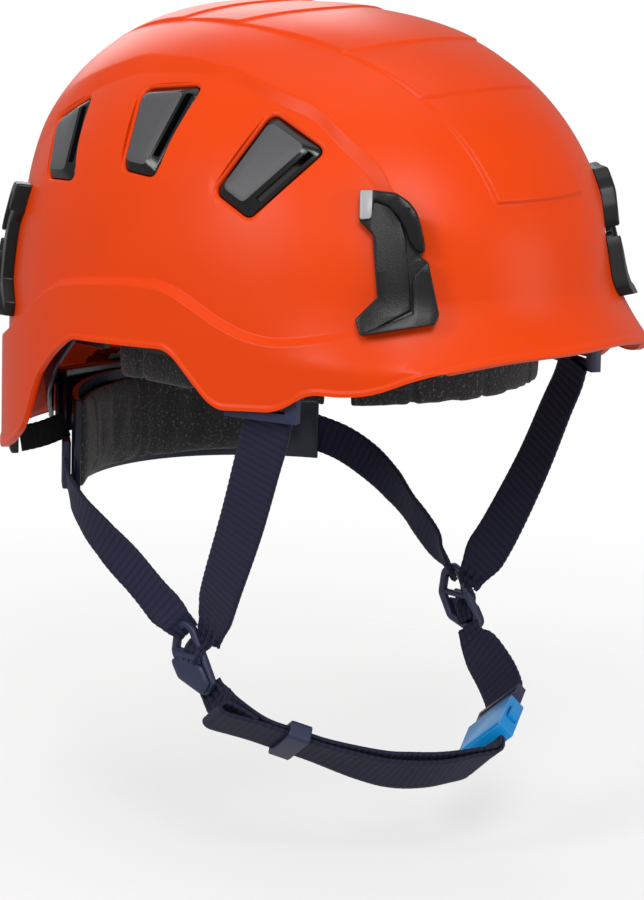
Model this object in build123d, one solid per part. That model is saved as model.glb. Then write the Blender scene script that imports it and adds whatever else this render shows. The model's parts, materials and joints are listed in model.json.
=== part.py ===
from build123d import *
import math
import os

# A climbing helmet. Millimetres, +Z up. The origin is the centre of the head seat, level with the
# headband. The face looks along -Y and the wearer's right hand side is -X.
os.makedirs("parts", exist_ok=True)

# Shell form: a half-ellipse plan in front and behind, and a superellipse in height
FRONT = 147.5
REAR = 131.0
HALF_WIDTH = 104.0
BASE_Z = -9.5
RISE = 138.8
HEIGHT_POWER = 2.66
FLOOR_Z = -80.0
SKIRT_OFFSET = 2.8
LEDGE_RAMP = 3.5
RING_POINTS = 28
RING_HEIGHTS = [-80, -12, 2, 9, 14, 19, 25, 31, 38, 52, 68, 83, 96, 107, 116, 122, 126, 128.5, 129.1]
WALL = 2.6
FLARE = 11.0
FLARE_TOP_Z = 34.0
FLARE_LOW_Z = 9.0
FLARE_POWER = 1.6

# Lower edge of the shell in side view, front to rear
RIM_LINE = [(-190, 13), (-152, 13), (-133, 8.5), (-106, -0.5), (-93, -3), (-84, -10), (-66, -10.5)]
RIM_LINE += [(-38, 4.5), (18, 3.5), (31, -4.5), (45, -18), (48, -27), (56, -39), (70, -48), (86, -54), (160, -54)]
# Upper edge of the skirt in side view, front to rear
LEDGE_LINE = [(-190, 52), (-150, 46), (-135, 35), (-122, 27.5), (-103, 22.5), (-84, 17.5), (-65, 18)]
LEDGE_LINE += [(-47, 26), (-30, 32), (-14, 33), (4, 30.5), (30, 24.5), (50, 13), (72, 0), (90, -8), (160, -16)]

# Ventilation inserts: corners in side view (y, z), and the edge that carries the slot
VENTS = {
    "front": [(-55, 99), (-81, 87), (-63, 60), (-46, 68.5)],
    "middle": [(11, 102), (-18, 106), (-16, 71), (1, 72)],
    "rear": [(46, 95), (70, 83), (53, 62), (31, 64)],
}
VENT_SLOTS = {"front": (-1, 1), "middle": (-1,), "rear": (-1,)}
VENT_GAP = 0.4
VENT_CORNER = 4.0
VENT_PROUD = 0.3
FRAME_WIDTH = 3.0
SLOT_WIDTH = 2.4
RECESS = 2.0
PLATE_DEPTH = 0.6
FLANGE = 2.5
FLANGE_THICK = 1.4
FLANGE_GAP = 0.6

# Headlamp clips: outline seen square on, right hand front clip, and the middle of each in plan
CLIP_OUTLINE = [(-15, 15), (-15, 26.5), (-1, 25.5), (6, 20), (10, 6), (8.5, 2), (11, 1), (16, -19.5)]
CLIP_OUTLINE += [(14.5, -22.5), (-14, -28), (-15.8, -22), (-7.5, -13.5), (-10, 10)]
CLIP_FRONT_Y = -112.0
CLIP_REAR_Y = 84.0
CLIP_Z = 48.0
REAR_CLIP_Z = 30.0
CLIP_RAISE = 4.0
CLIP_LIP = 5.6
CLIP_UNDERCUT = 1.8
CONTACT_GAP = 0.3
PEG_R = 2.4
PEG_SPOTS = [(-3, 18.5), (3, -12)]

# Headband and pads, on an ellipse around the head
BAND_X = 84.5
BAND_Y = 103.5
BAND_CENTRE_Y = -6.0
BAND_THICK = 1.8
BAND_LOW_Z = 0.0
BAND_HIGH_Z = 24.0
BAND_END = 118
PAD_THICK = 5.5
PAD_LOW_Z = -14.0
PAD_HIGH_Z = 20.0
SOFT_GAP = 0.3

# Textile suspension: six hooks on the wall, three straps over the head
HOOK_ANGLES = [35, 85, 142]
HOOK_LOW_Z = 21.0
HOOK_HIGH_Z = 33.0
HOOK_WIDTH = 22.0
HOOK_GAP = 0.8
CROWN_STRAP_Z = 27.4
CROWN_TOP_Z = 95.0
CROWN_STRAP_WIDTH = 19.0
CROWN_STRAP_THICK = 1.4
LAYER_STEP = 2.0
CROWN_PAD_R = 30.0
CROWN_PAD_Z = (86.5, 92.0)

# Rear cradle: pivots on the headband, arms, and the housing behind the head
PIVOT_X = 78.8
PIVOT_Y = 46.0
PIVOT_Z = 6.0
PIN_R = 2.5
PIN_HEAD_R = 4.5
RUNNING_GAP = 0.05
LUG_THICK = 2.8
ARM_THICK = 2.0
ARM_WIDTH = 18.0
ARM_GAP = 0.4
HOUSING_Z = -42.0
HOUSING_FRONT_Y = 98.7
HOUSING_HALF = 37.0
HOUSING_HIGH = 13.0
FRONT_WALL = 2.0
CHANNEL_DEEP = 3.0
COVER_THICK = 2.2
RACK_THICK = 2.4
RACK_LENGTH = 52.0
TOOTH_MODULE = 1.0
PINION_TEETH = 12
TOOTH_OUT = 0.7
TOOTH_IN = 0.95
BACKLASH = 0.36
TOOTH_SLOPE = 0.364
SHAFT_R = 4.0
KNOB_R = 16.0
KNOB_DEPTH = 10.0
KNOB_GAP = 0.6
KNOB_GRIPS = 18
CLICK_R = 10.6
FRAME_LOW_Z = -73.0
FRAME_HIGH_Z = -31.0
FRAME_THICK = 2.4

# Chin strap webbing and hardware, right hand side
WEB_WIDTH = 20.0
WEB_THICK = 1.6
REAR_WEB_WIDTH = 15.0
DIVIDER_CENTRE = (-75.5, -24, -120)
DIVIDER_OUTLINE = [(-10, 10), (-4.5, 14.5), (1, 12), (13.5, -8.5), (9.5, -14.5), (-5.5, -10), (-11.5, 0)]
DIVIDER_THICK = 3.0
DIVIDER_RIM = 3.2
LEAF_THICK = 1.8
KEEPER_PATH = ((-55.7, -60.1, -148.8), (0.775, -0.524, -0.352))
LAYER_GAP = 2.1
BUCKLE_AT = (28.5, -84.9, -162.7)
BUCKLE_ALONG = (0.82, 0.52, 0.24)
BUCKLE_OUT = (0.51, -0.48, -0.71)
BUCKLE_ACROSS = (0.25, -0.70, 0.66)
BUCKLE_WIDTH = 25.0
BUCKLE_LENGTH = 24.0
BUCKLE_THICK = 7.6


# Shared shapes
def height_factor(z):
    """Plan scale of the reference form at height z."""
    h = max(0.0, min(1.0, (z - BASE_Z) / RISE))
    return (1 - h ** HEIGHT_POWER) ** (1 / HEIGHT_POWER)


def wall_x(y, z):
    """Half width of the reference form at y and z."""
    length = FRONT if y < 0 else REAR
    factor = height_factor(z)
    return HALF_WIDTH * math.sqrt(max(0.0, factor ** 2 - (y / length) ** 2))


def wall_normal(x, y, z):
    """Outward direction of the reference form at a point on it."""
    length = FRONT if y < 0 else REAR
    rho = math.sqrt((x / HALF_WIDTH) ** 2 + (y / length) ** 2)
    h = max(1e-6, (z - BASE_Z) / RISE)
    plan = rho ** (HEIGHT_POWER - 2)
    up = h ** (HEIGHT_POWER - 1) / RISE
    return Vector(plan * x / HALF_WIDTH ** 2, plan * y / length ** 2, up).normalized()


def smooth_step(value, low, high):
    """Ramp from 0 at low to 1 at high."""
    t = max(0.0, min(1.0, (value - low) / (high - low)))
    return t * t * (3 - 2 * t)


def ledge_z(y):
    """Height of the skirt's upper edge at y."""
    for (y0, z0), (y1, z1) in zip(LEDGE_LINE, LEDGE_LINE[1:]):
        if y0 <= y <= y1:
            return z0 + (z1 - z0) * smooth_step(y, y0, y1)
    return LEDGE_LINE[-1][1]


def dome(offset):
    """Solid dome with its skirt and flared brim, its surface lying offset outside the shell's."""
    sections = []
    for z in RING_HEIGHTS:
        factor = height_factor(z)
        fall = max(0.0, min(1.0, (FLARE_TOP_Z - z) / (FLARE_TOP_Z - FLARE_LOW_Z)))
        ring_points = []
        for i in range(RING_POINTS + 1):
            angle = math.radians(-90 + 360 * i / RING_POINTS)
            length = FRONT if math.cos(angle) > 0 else REAR
            x = -HALF_WIDTH * math.sin(angle)
            y = -length * math.cos(angle)
            front = 1 - smooth_step(math.degrees(math.acos(math.cos(angle))), 34, 64)
            below = smooth_step(ledge_z(y * factor) - z, -LEDGE_RAMP, LEDGE_RAMP)
            grow = (1 - front) * SKIRT_OFFSET * below + front * FLARE * fall ** FLARE_POWER
            normal = Vector(x / HALF_WIDTH ** 2, y / length ** 2, 0).normalized()
            ring_points.append(Vector(x, y, 0) * factor + normal * (grow + offset * factor) + Vector(0, 0, z))
        half = RING_POINTS // 2
        front_half = Spline(ring_points[: half + 1], tangents=[(0, -1, 0), (0, 1, 0)])
        rear_half = Spline(ring_points[half:-1] + [ring_points[0]], tangents=[(0, 1, 0), (0, -1, 0)])
        sections.append(make_face([front_half, rear_half]))
    return loft(sections, ruled=True)


def side_region(line, top, radius=0.0):
    """Everything above (top > 0) or below a line in side view: rounded corners, or one smooth curve."""
    points = [(0, y, z) for y, z in line]
    edge = FilletPolyline(points, radius=radius) if radius else Spline(points)
    start, end = line[0], line[-1]
    close = Polyline((0, end[0], end[1]), (0, end[0], top), (0, start[0], top), (0, start[0], start[1]))
    return extrude(make_face([edge, close]), amount=200, dir=(1, 0, 0), both=True)


def mirrored(shape):
    """The same shape on the wearer's left hand side."""
    return mirror(shape, about=Plane.YZ)


def write(shape, name):
    """Write one piece to its own file."""
    export_step(shape, f"parts/{name}.step")


def ribbon(stations, width, thick):
    """Flat strap through stations of (centre, width direction)."""
    sections = []
    last = len(stations) - 1
    for i, (centre, across) in enumerate(stations):
        ahead = Vector(*stations[min(last, i + 1)][0])
        behind = Vector(*stations[max(0, i - 1)][0])
        along = (ahead - behind).normalized()
        flat = Vector(*across)
        flat = (flat - along * flat.dot(along)).normalized()
        out = along.cross(flat).normalized()
        middle = Vector(*centre)
        corners = []
        for u, v in ((-1, -1), (1, -1), (1, 1), (-1, 1)):
            corners.append(middle + flat * (u * width / 2) + out * (v * thick / 2))
        sections.append(make_face(Polyline(corners, close=True)))
    return loft(sections, ruled=True)


def ring(half_x, half_y, thick, low, high):
    """Elliptical band; half_x and half_y are its outer half lengths."""
    outer = Ellipse(half_x, half_y)
    inner = Ellipse(half_x - thick, half_y - thick)
    return Pos(0, BAND_CENTRE_Y, low) * extrude(outer - inner, amount=high - low)


def sector(start, end):
    """Wedge seen from above; angles from the front, towards the wearer's right."""
    steps = max(2, int((end - start) / 15))
    points = [(0, BAND_CENTRE_Y)]
    for i in range(steps + 1):
        angle = math.radians(start + (end - start) * i / steps)
        points.append((-300 * math.sin(angle), BAND_CENTRE_Y - 300 * math.cos(angle)))
    return Pos(0, 0, -200) * extrude(make_face(Polyline(points, close=True)), amount=500)


def layer(depth):
    """Solid whose surface lies depth below the shell's outer surface."""
    return Pos(0, 0, -depth) * dome(-depth)


def rounded(points, radius):
    """Flat face with rounded corners."""
    flat = make_face(Polyline(points, close=True))
    return fillet(flat.vertices(), radius)


def prism(plane, face, deep=16):
    """Solid reaching both ways from a face drawn on a plane."""
    return extrude(plane * face, amount=deep, both=True)


def wall_plane(y, z):
    """Plane square to the right hand wall at y and z; its x runs forward and its y up."""
    x = -wall_x(y, z)
    normal = wall_normal(x, y, z)
    forward = Vector(-normal.Y, normal.X, 0)
    return Plane(origin=(x, y, z), x_dir=forward, z_dir=normal)


def place_box(plane, size, at):
    """Box of a size, centred at a point of a plane's own frame."""
    return plane * (Pos(*at) * Box(*size))


def place_rod(plane, radius, low, high, at=(0, 0)):
    """Rod along a plane's normal, from low to high."""
    return plane * (Pos(at[0], at[1], (low + high) / 2) * Cylinder(radius, high - low))


def band_point(angle, grow, z):
    """Point on the headband's ellipse, grown, in a direction seen from above."""
    a = math.radians(angle)
    r = 1 / math.hypot(math.sin(a) / (BAND_X + grow), math.cos(a) / (BAND_Y + grow))
    return (-r * math.sin(a), BAND_CENTRE_Y - r * math.cos(a), z)


# Shell: dome, skirt and brim in one wall, trimmed to its rim
outer = dome(0)
cavity = layer(WALL)
wall_face = layer(WALL + CONTACT_GAP)
above_rim = side_region(RIM_LINE, 220, 4)
shell = (outer & above_rim) - cavity

# Ventilation inserts, right hand side, mirrored to the left
proud = layer(-VENT_PROUD)
recess_floor = layer(RECESS)
plate_top = layer(PLATE_DEPTH)
flange_face = layer(WALL + FLANGE_GAP)
flange_back = layer(WALL + FLANGE_GAP + FLANGE_THICK)
for place, corners in VENTS.items():
    points = [Vector(-wall_x(y, z), y, z) for y, z in corners]
    centre = (points[0] + points[1] + points[2] + points[3]) / 4
    plane = Plane(origin=centre, x_dir=(0, 1, 0), z_dir=wall_normal(centre.X, centre.Y, centre.Z))
    local = [plane.to_local_coords(point) for point in points]
    opening = rounded([(point.X, point.Y) for point in local], VENT_CORNER)
    cutter = prism(plane, opening)
    shell = shell - cutter - mirrored(cutter)
    frame = prism(plane, offset(opening, amount=-VENT_GAP)) & (proud - flange_face)
    flange = prism(plane, offset(opening, amount=FLANGE)) & (flange_face - flange_back)
    pocket = offset(opening, amount=-FRAME_WIDTH)
    plate_outline = offset(opening, amount=-FRAME_WIDTH - SLOT_WIDTH)
    insert = frame + flange - (prism(plane, pocket) - recess_floor)
    insert = insert + (prism(plane, plate_outline) & (plate_top - flange_back))
    bounds = opening.bounding_box()
    slot_ring = pocket - plate_outline
    for side in VENT_SLOTS[place]:
        half = Pos(side * 50, bounds.center().Y) * Rectangle(100, bounds.size.Y * 0.62)
        insert = insert - prism(plane, slot_ring & half)
    write(insert, f"vent_insert_{place}_right")
    write(mirrored(insert), f"vent_insert_{place}_left")

# Headlamp clips: a plate open to the strap's side, its free ends raised, pegged through the wall
clip_top = layer(-CLIP_RAISE)
clip_lip = layer(-CLIP_LIP)
clip_gap = layer(-CLIP_UNDERCUT)
clip_seat = layer(-CONTACT_GAP)
for place, y, z, flip in (("front", CLIP_FRONT_Y, CLIP_Z, 1), ("rear", CLIP_REAR_Y, REAR_CLIP_Z, -1)):
    plane = wall_plane(y, z)
    outline = make_face(Polyline([(flip * h, v) for h, v in CLIP_OUTLINE], close=True))
    body = prism(plane, outline) & (clip_top - clip_seat)
    arm_end = place_box(plane, (4, 13, 30), (-flip * 13.5, 21, 0))
    foot_end = place_box(plane, (5, 7, 30), (-flip * 12.5, -24.5, 0))
    lips = prism(plane, outline) & (arm_end + foot_end) & (clip_lip - clip_seat)
    undercut = place_box(plane, (11, 16, 30), (-flip * 12, 21, 0)) & clip_gap
    clip = body + lips - undercut
    for h, v in PEG_SPOTS:
        peg = place_rod(plane, PEG_R, -WALL - 2.0, 1.5, (flip * h, v))
        hole = place_rod(plane, PEG_R + CONTACT_GAP, -WALL - 4.0, 4.0, (flip * h, v))
        clip = clip + peg
        shell = shell - hole - mirrored(hole)
    write(clip, f"lamp_clip_{place}_right")
    write(mirrored(clip), f"lamp_clip_{place}_left")
write(shell, "shell")

# Headband with its two pivot lugs
headband = ring(BAND_X, BAND_Y, BAND_THICK, BAND_LOW_Z, BAND_HIGH_Z) & sector(-BAND_END, BAND_END)
lug = Pos(-PIVOT_X, 39, PIVOT_Z) * Box(LUG_THICK, 26, 20)
pin_axis = Plane(origin=(-PIVOT_X, PIVOT_Y, PIVOT_Z), x_dir=(0, -1, 0), z_dir=(-1, 0, 0))
lug = lug - place_rod(pin_axis, PIN_R, -5, 5)
headband = headband + lug + mirrored(lug)
write(headband, "headband")

# Soft pads inside the headband
pad_ring = ring(BAND_X - BAND_THICK - SOFT_GAP, BAND_Y - BAND_THICK - SOFT_GAP, PAD_THICK, PAD_LOW_Z, PAD_HIGH_Z)
side_pad = pad_ring & sector(38, 108)
write(pad_ring & sector(-34, 34), "headband_pad_front")
write(side_pad, "headband_pad_right")
write(mirrored(side_pad), "headband_pad_left")

# Hooks that hold the headband and the crown straps on the wall
hooks = []
hook_wall = layer(WALL + HOOK_GAP)
for angle in HOOK_ANGLES:
    a = math.radians(angle)
    spot = band_point(angle, 8, (HOOK_LOW_Z + HOOK_HIGH_Z) / 2)
    plane = Plane(origin=spot, x_dir=(-math.cos(a), math.sin(a), 0), z_dir=(-math.sin(a), -math.cos(a), 0))
    high = HOOK_HIGH_Z - HOOK_LOW_Z
    plate = place_box(plane, (HOOK_WIDTH, high, 80), (0, 0, 0)) & (hook_wall - layer(WALL + 3.8))
    plate = plate & place_box(plane, (HOOK_WIDTH, high, 44), (0, 0, 10))
    tongue = place_box(plane, (9, high * 0.5, 44), (0, high * 0.25, 10)) & hook_wall
    core = Pos(0, BAND_CENTRE_Y, 0) * extrude(Ellipse(BAND_X + SOFT_GAP, BAND_Y + SOFT_GAP), amount=60)
    hook = plate + (tongue - core)
    hooks += [hook, mirrored(hook)]
write(Compound(children=hooks), "suspension_hooks")


# Crown straps, one above the other where they cross
def crown_strap(start, end, top):
    """Strap over the head between two hook directions."""
    stations = []
    for i in range(-8, 9):
        angle = start if i < 0 else end
        a = math.radians(angle)
        g = math.sin(abs(i) / 8 * math.pi / 2)
        x, y, _ = band_point(angle, 4, 0)
        rise = (1 - g ** 2.4) ** (1 / 2.4)
        point = (x * g, BAND_CENTRE_Y + (y - BAND_CENTRE_Y) * g, CROWN_STRAP_Z + (top - CROWN_STRAP_Z) * rise)
        sign = -1 if i < 0 else 1
        stations.append((point, (sign * math.cos(a), -sign * math.sin(a), 0)))
    return ribbon(stations, CROWN_STRAP_WIDTH, CROWN_STRAP_THICK)


side_strap = crown_strap(HOOK_ANGLES[1], -HOOK_ANGLES[1], CROWN_TOP_Z)
diagonal_a = crown_strap(HOOK_ANGLES[0], -HOOK_ANGLES[2], CROWN_TOP_Z + LAYER_STEP)
diagonal_b = crown_strap(-HOOK_ANGLES[0], HOOK_ANGLES[2], CROWN_TOP_Z + 2 * LAYER_STEP)
write(side_strap, "crown_strap_side_to_side")
write(diagonal_a, "crown_strap_diagonal_lower")
write(diagonal_b, "crown_strap_diagonal_upper")
low, high = CROWN_PAD_Z
write(Pos(0, BAND_CENTRE_Y, (low + high) / 2) * Cylinder(CROWN_PAD_R, high - low), "crown_pad")

# Rear cradle arms and their pivot pins
arm_x = PIVOT_X + LUG_THICK / 2 + ARM_GAP + ARM_THICK / 2
stations = [((-arm_x, PIVOT_Y, PIVOT_Z), (0, 0.7, 0.7)), ((-arm_x, 54, -3), (0, 0.7, 0.7))]
stations += [((-79.5, 60.5, -10), (0.05, 0.6, 0.8)), ((-71, 72, -20), (0.1, 0.45, 0.9))]
stations += [((-60, 84, -29.5), (0.1, 0.3, 0.95)), ((-50, 93.5, -37), (0, 0.1, 1))]
stations += [((-43.0, 101.0, -41.5), (0, 0, 1))]
arm = ribbon(stations, ARM_WIDTH, ARM_THICK - 0.3)
eye = place_rod(pin_axis, ARM_WIDTH / 2 + 1, LUG_THICK / 2 + ARM_GAP, LUG_THICK / 2 + ARM_GAP + ARM_THICK)
arm = arm + eye - place_rod(pin_axis, PIN_R + RUNNING_GAP, -10, 10)
write(arm, "cradle_arm_right")
write(mirrored(arm), "cradle_arm_left")
pin_end = LUG_THICK / 2 + ARM_GAP + ARM_THICK + ARM_GAP
pin = place_rod(pin_axis, PIN_R, -LUG_THICK / 2, pin_end) + place_rod(pin_axis, PIN_HEAD_R, pin_end, pin_end + 1.2)
write(Compound(children=[pin, mirrored(pin)]), "cradle_pivot_pins")

# Adjuster: a plane behind the head, x to the wearer's right, y up, z rearward
rear = Plane(origin=(0, HOUSING_FRONT_Y, HOUSING_Z), x_dir=(-1, 0, 0), z_dir=(0, 1, 0))
channel_low = FRONT_WALL
channel_high = FRONT_WALL + CHANNEL_DEEP
cover_high = channel_high + COVER_THICK
wide = 2 * HOUSING_HALF
tall = 2 * HOUSING_HIGH
housing = place_box(rear, (wide, tall, channel_high), (0, 0, channel_high / 2))
slot = place_box(rear, (wide + 2, tall - 3, CHANNEL_DEEP), (0, 0, channel_low + CHANNEL_DEEP / 2))
cover = place_box(rear, (wide, tall, COVER_THICK), (0, 0, channel_high + COVER_THICK / 2))
housing = housing - slot
cover = cover - place_rod(rear, SHAFT_R + RUNNING_GAP, 0, 40)
SCREW_SPOTS = [(-HOUSING_HALF + 4, 0), (HOUSING_HALF - 4, 0)]
screws = []
for spot in SCREW_SPOTS:
    housing = housing + place_rod(rear, 2.6, channel_low, channel_high, spot) - place_rod(rear, 1.2, -1, 20, spot)
    cover = cover - place_rod(rear, 1.2, 0, 40, spot)
    screw = place_rod(rear, 1.2, 0.4, cover_high, spot) + place_rod(rear, 2.4, cover_high, cover_high + 1.4, spot)
    screws.append(screw - place_box(rear, (3, 0.6, 0.6), (spot[0], spot[1], cover_high + 1.3)))
write(Compound(children=screws), "cover_screws")

# Pinion and the two racks that it draws together
pitch_r = TOOTH_MODULE * PINION_TEETH / 2
half_tooth = math.pi * TOOTH_MODULE / 4 - BACKLASH / 2
mid_y = channel_low + CHANNEL_DEEP / 2
gear_low = mid_y - RACK_THICK / 2
gear_high = mid_y + RACK_THICK / 2
tip = half_tooth - TOOTH_OUT * TOOTH_SLOPE
root = half_tooth + TOOTH_IN * TOOTH_SLOPE
tooth_points = [(-root, pitch_r - TOOTH_IN), (-tip, pitch_r + TOOTH_OUT), (tip, pitch_r + TOOTH_OUT)]
tooth_points += [(root, pitch_r - TOOTH_IN), (0, 2)]
gear_face = Circle(pitch_r - TOOTH_IN)
for i in range(PINION_TEETH):
    gear_face = gear_face + Rot(0, 0, 360 * i / PINION_TEETH) * make_face(Polyline(tooth_points, close=True))
gear = rear * (Pos(0, 0, gear_low) * extrude(gear_face, amount=RACK_THICK))
knob_low = cover_high + KNOB_GAP
shaft_end = knob_low + 6
gear = gear + place_rod(rear, SHAFT_R, gear_high - 0.1, shaft_end) - place_rod(rear, 1.25, gear_low - 1, 60)
write(gear, "drive_gear")
back_line = pitch_r + TOOTH_IN
rack_face = Pos(RACK_LENGTH / 2 - 12, back_line + 1.9) * Rectangle(RACK_LENGTH, 3.8)
pitch = math.pi * TOOTH_MODULE
for i in range(-3, 5):
    middle = (i + 0.5) * pitch
    points = [(middle - root, back_line), (middle - tip, pitch_r - TOOTH_OUT)]
    points += [(middle + tip, pitch_r - TOOTH_OUT), (middle + root, back_line), (middle, back_line + 1)]
    rack_face = rack_face + make_face(Polyline(points, close=True))
rack = Pos(0, 0, gear_low) * extrude(rack_face, amount=RACK_THICK)
rack_right = rear * rack
rack_left = rear * (Rot(0, 0, 180) * rack)
write(rack_right, "rack_right")
write(rack_left, "rack_left")
write(housing, "adjuster_housing")

# Knob with its click ring, the leaf spring that clicks in it, and the screw
knob_face = Circle(KNOB_R)
for i in range(KNOB_GRIPS):
    knob_face = knob_face - Rot(0, 0, 360 * i / KNOB_GRIPS) * (Pos(KNOB_R + 0.6, 0) * Circle(1.5))
knob = rear * (Pos(0, 0, knob_low) * extrude(knob_face, amount=KNOB_DEPTH))
click_face = Circle(CLICK_R)
for i in range(24):
    click_face = click_face + Rot(0, 0, 15 * i) * (Pos(CLICK_R, 0) * Circle(0.6))
click_deep = 3.5
knob = knob - rear * (Pos(0, 0, knob_low - 1) * extrude(click_face, amount=click_deep + 1))
knob = knob + place_rod(rear, 6.4, knob_low, knob_low + 5) - place_rod(rear, SHAFT_R + RUNNING_GAP, 0, shaft_end + 0.1)
knob_top = knob_low + KNOB_DEPTH
knob = knob - place_rod(rear, 1.6, 0, 60) - place_rod(rear, 3.4, knob_top - 2.6, knob_top + 1)
write(knob, "adjuster_knob")
knob_screw = place_rod(rear, 1.25, gear_high + 2, knob_top - 2.4) + place_rod(rear, 3.1, knob_top - 2.5, knob_top - 0.5)
knob_screw = knob_screw - place_box(rear, (1, 4.4, 1.2), (0, 0, knob_top - 0.5))
write(knob_screw, "knob_screw")
leaf_face = (Circle(9.2) - Circle(8.2)) & (Pos(0, 10) * Rectangle(24, 16))
nib = Pos(0, 9.5) * Circle(0.75)
spring_high = cover_high + 2.6
spring = rear * (Pos(0, 0, cover_high + 0.7) * extrude(leaf_face + nib, amount=1.9))
foot_spots = [(-8.0, 3.4), (8.0, 3.4)]
for spot in foot_spots:
    spring = spring + place_rod(rear, 0.8, cover_high - 1.2, spring_high, spot)
    cover = cover - place_rod(rear, 0.8, cover_high - 1.2, cover_high + 5, spot)
write(spring, "ratchet_spring")
write(cover, "adjuster_cover")

# Nape frame on the headband's ellipse, with its pad
frame = ring(BAND_X + 1, BAND_Y + 1, FRAME_THICK, FRAME_LOW_Z, FRAME_HIGH_Z) & sector(132, 228)
for side in (-1, 1):
    window = Plane(origin=(side * 30, 90, -50), x_dir=(-1, 0, 0), z_dir=(0, 1, 0))
    frame = frame - prism(window, rounded([(-11, -12), (11, -12), (11, 12), (-11, 12)], 5), 40)
frame = frame - place_box(rear, (wide + 1, tall + 1, 60), (0, 0, 30 - 0.1))
write(frame, "nape_frame")
nape_pad = ring(BAND_X - FRAME_THICK, BAND_Y - FRAME_THICK + 0.6, PAD_THICK, FRAME_LOW_Z + 2, FRAME_HIGH_Z - 2)
write(nape_pad & sector(140, 220), "nape_pad")

# Elastic straps from the nape frame to the shell, with their clips on the shell
frame_point = Vector(-54.8, 77.6, -46)
shell_point = Vector(-73.9, 84.4, -51)
nape_strap = ribbon([(frame_point, (0, 0, 1)), ((frame_point + shell_point) / 2, (0, 0, 1)),
                     (shell_point, (0, 0, 1))], 11, WEB_THICK)
write(nape_strap, "nape_strap_right")
write(mirrored(nape_strap), "nape_strap_left")
clip_plane = wall_plane(84.5, BASE_Z)
clip_plane = Plane(origin=(clip_plane.origin.X, 84.5, -49), x_dir=clip_plane.x_dir, z_dir=clip_plane.z_dir)
nape_clip = place_box(clip_plane, (9, 13, 30), (0, 0, 0)) & (wall_face - layer(WALL + 3.4))
write(Compound(children=[nape_clip, mirrored(nape_clip)]), "nape_strap_clips")

# Front chin strap anchors: bars inside the wall, showing below the rim
anchor_plane = wall_plane(-74.5, BASE_Z)
anchor_plane = Plane(origin=(anchor_plane.origin.X, -74.5, -6.5), x_dir=anchor_plane.x_dir, z_dir=anchor_plane.z_dir)
anchor = place_box(anchor_plane, (31, 17, 30), (0, 0, 0)) & (wall_face - layer(WALL + 4.6))
anchor = anchor - place_box(anchor_plane, (WEB_WIDTH + 1.5, 3, 60), (0, -3.5, 0))
write(anchor, "chin_anchor_right")
write(mirrored(anchor), "chin_anchor_left")

# Side straps, meeting at the divider
front_strap = ribbon([((-85, -75, -16), (0.26, -0.96, 0)), ((-84, -68.5, -30), (0.24, -0.97, 0)),
                      ((-81.5, -57, -59), (0.14, -0.99, 0)), ((-78, -42.5, -88), (0, -1, 0)),
                      ((-73.6, -34.2, -104), (-0.1, -0.99, 0)),
                      ((-72.9, -30.5, -112), (0, -1, 0))], WEB_WIDTH, WEB_THICK)
write(front_strap, "front_strap_right")
write(mirrored(front_strap), "front_strap_left")
rear_strap = ribbon([((-68.6, 60.8, -61.8), (0.1, 0.3, 0.95)), ((-79.5, 41, -70.5), (0, 0.4, 0.9)),
                     ((-81.5, 25, -79.5), (0, 0.5, 0.87)), ((-79, 7, -91.5), (0, 0.6, 0.8)),
                     ((-78.2, -7, -101.5), (0, 0.6, 0.8)),
                     ((-78.2, -14, -107), (0, 0.6, 0.8))], REAR_WEB_WIDTH, WEB_THICK)
write(rear_strap, "rear_strap_right")
write(mirrored(rear_strap), "rear_strap_left")
block_plane = Plane(origin=(-61.2, 66.9, -59.5), x_dir=(0.624, 0.782, 0), z_dir=(-0.782, 0.624, 0))
block = place_box(block_plane, (12, 20, 3.4), (0, 0, 2.2)) - place_box(block_plane, (3.2, 16, 10), (-2.5, 0, 3))
write(Compound(children=[block, mirrored(block)]), "rear_strap_anchors")

# Divider: a rounded triangular ring with a crossbar, and the leaf that locks the straps on it
divider_plane = Plane(origin=DIVIDER_CENTRE, x_dir=(0, -1, 0), z_dir=(-1, 0, 0))
divider_face = rounded(DIVIDER_OUTLINE, 3.4)
divider_hole = offset(divider_face, amount=-DIVIDER_RIM)
divider_bar = (Pos(0, 1) * Rectangle(30, 3)) & divider_face
divider = extrude(divider_face - divider_hole + divider_bar, amount=DIVIDER_THICK / 2, both=True)
pivot = Plane(origin=divider_plane.from_local_coords(Vector(0, 1, DIVIDER_THICK / 2 + 1.6)), x_dir=(0, 0, 1),
              z_dir=(0, -1, 0))
divider = divider_plane * divider
for side in (-1, 1):
    ear = place_rod(pivot, 1.5, side * 6.2 - 0.8, side * 6.2 + 0.8)
    ear = ear + place_box(divider_plane, (1.6, 3, 2.0), (side * 6.2, 1, DIVIDER_THICK / 2 + 0.7))
    divider = divider + ear - place_rod(pivot, 0.7 + RUNNING_GAP, side * 6.2 - 2, side * 6.2 + 2)
write(divider, "divider_right")
write(mirrored(divider), "divider_left")
leaf_face = offset(divider_face, amount=-0.6) & (Pos(2, -10.2) * Rectangle(34, 17))
leaf = divider_plane * (Pos(0, 0, DIVIDER_THICK / 2 + SOFT_GAP) * extrude(leaf_face, amount=LEAF_THICK))
leaf = leaf - place_box(divider_plane, (40, 6, 10), (0, 2, 3))
leaf = leaf + place_rod(pivot, 1.3, -5.2, 5.2) + place_rod(pivot, 0.7, -6.9, 6.9)
leaf = leaf + place_box(divider_plane, (9, 2.6, 1.6), (0, -0.6, DIVIDER_THICK / 2 + 1.2))
write(leaf, "divider_leaf_right")
write(mirrored(leaf), "divider_leaf_left")

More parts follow.
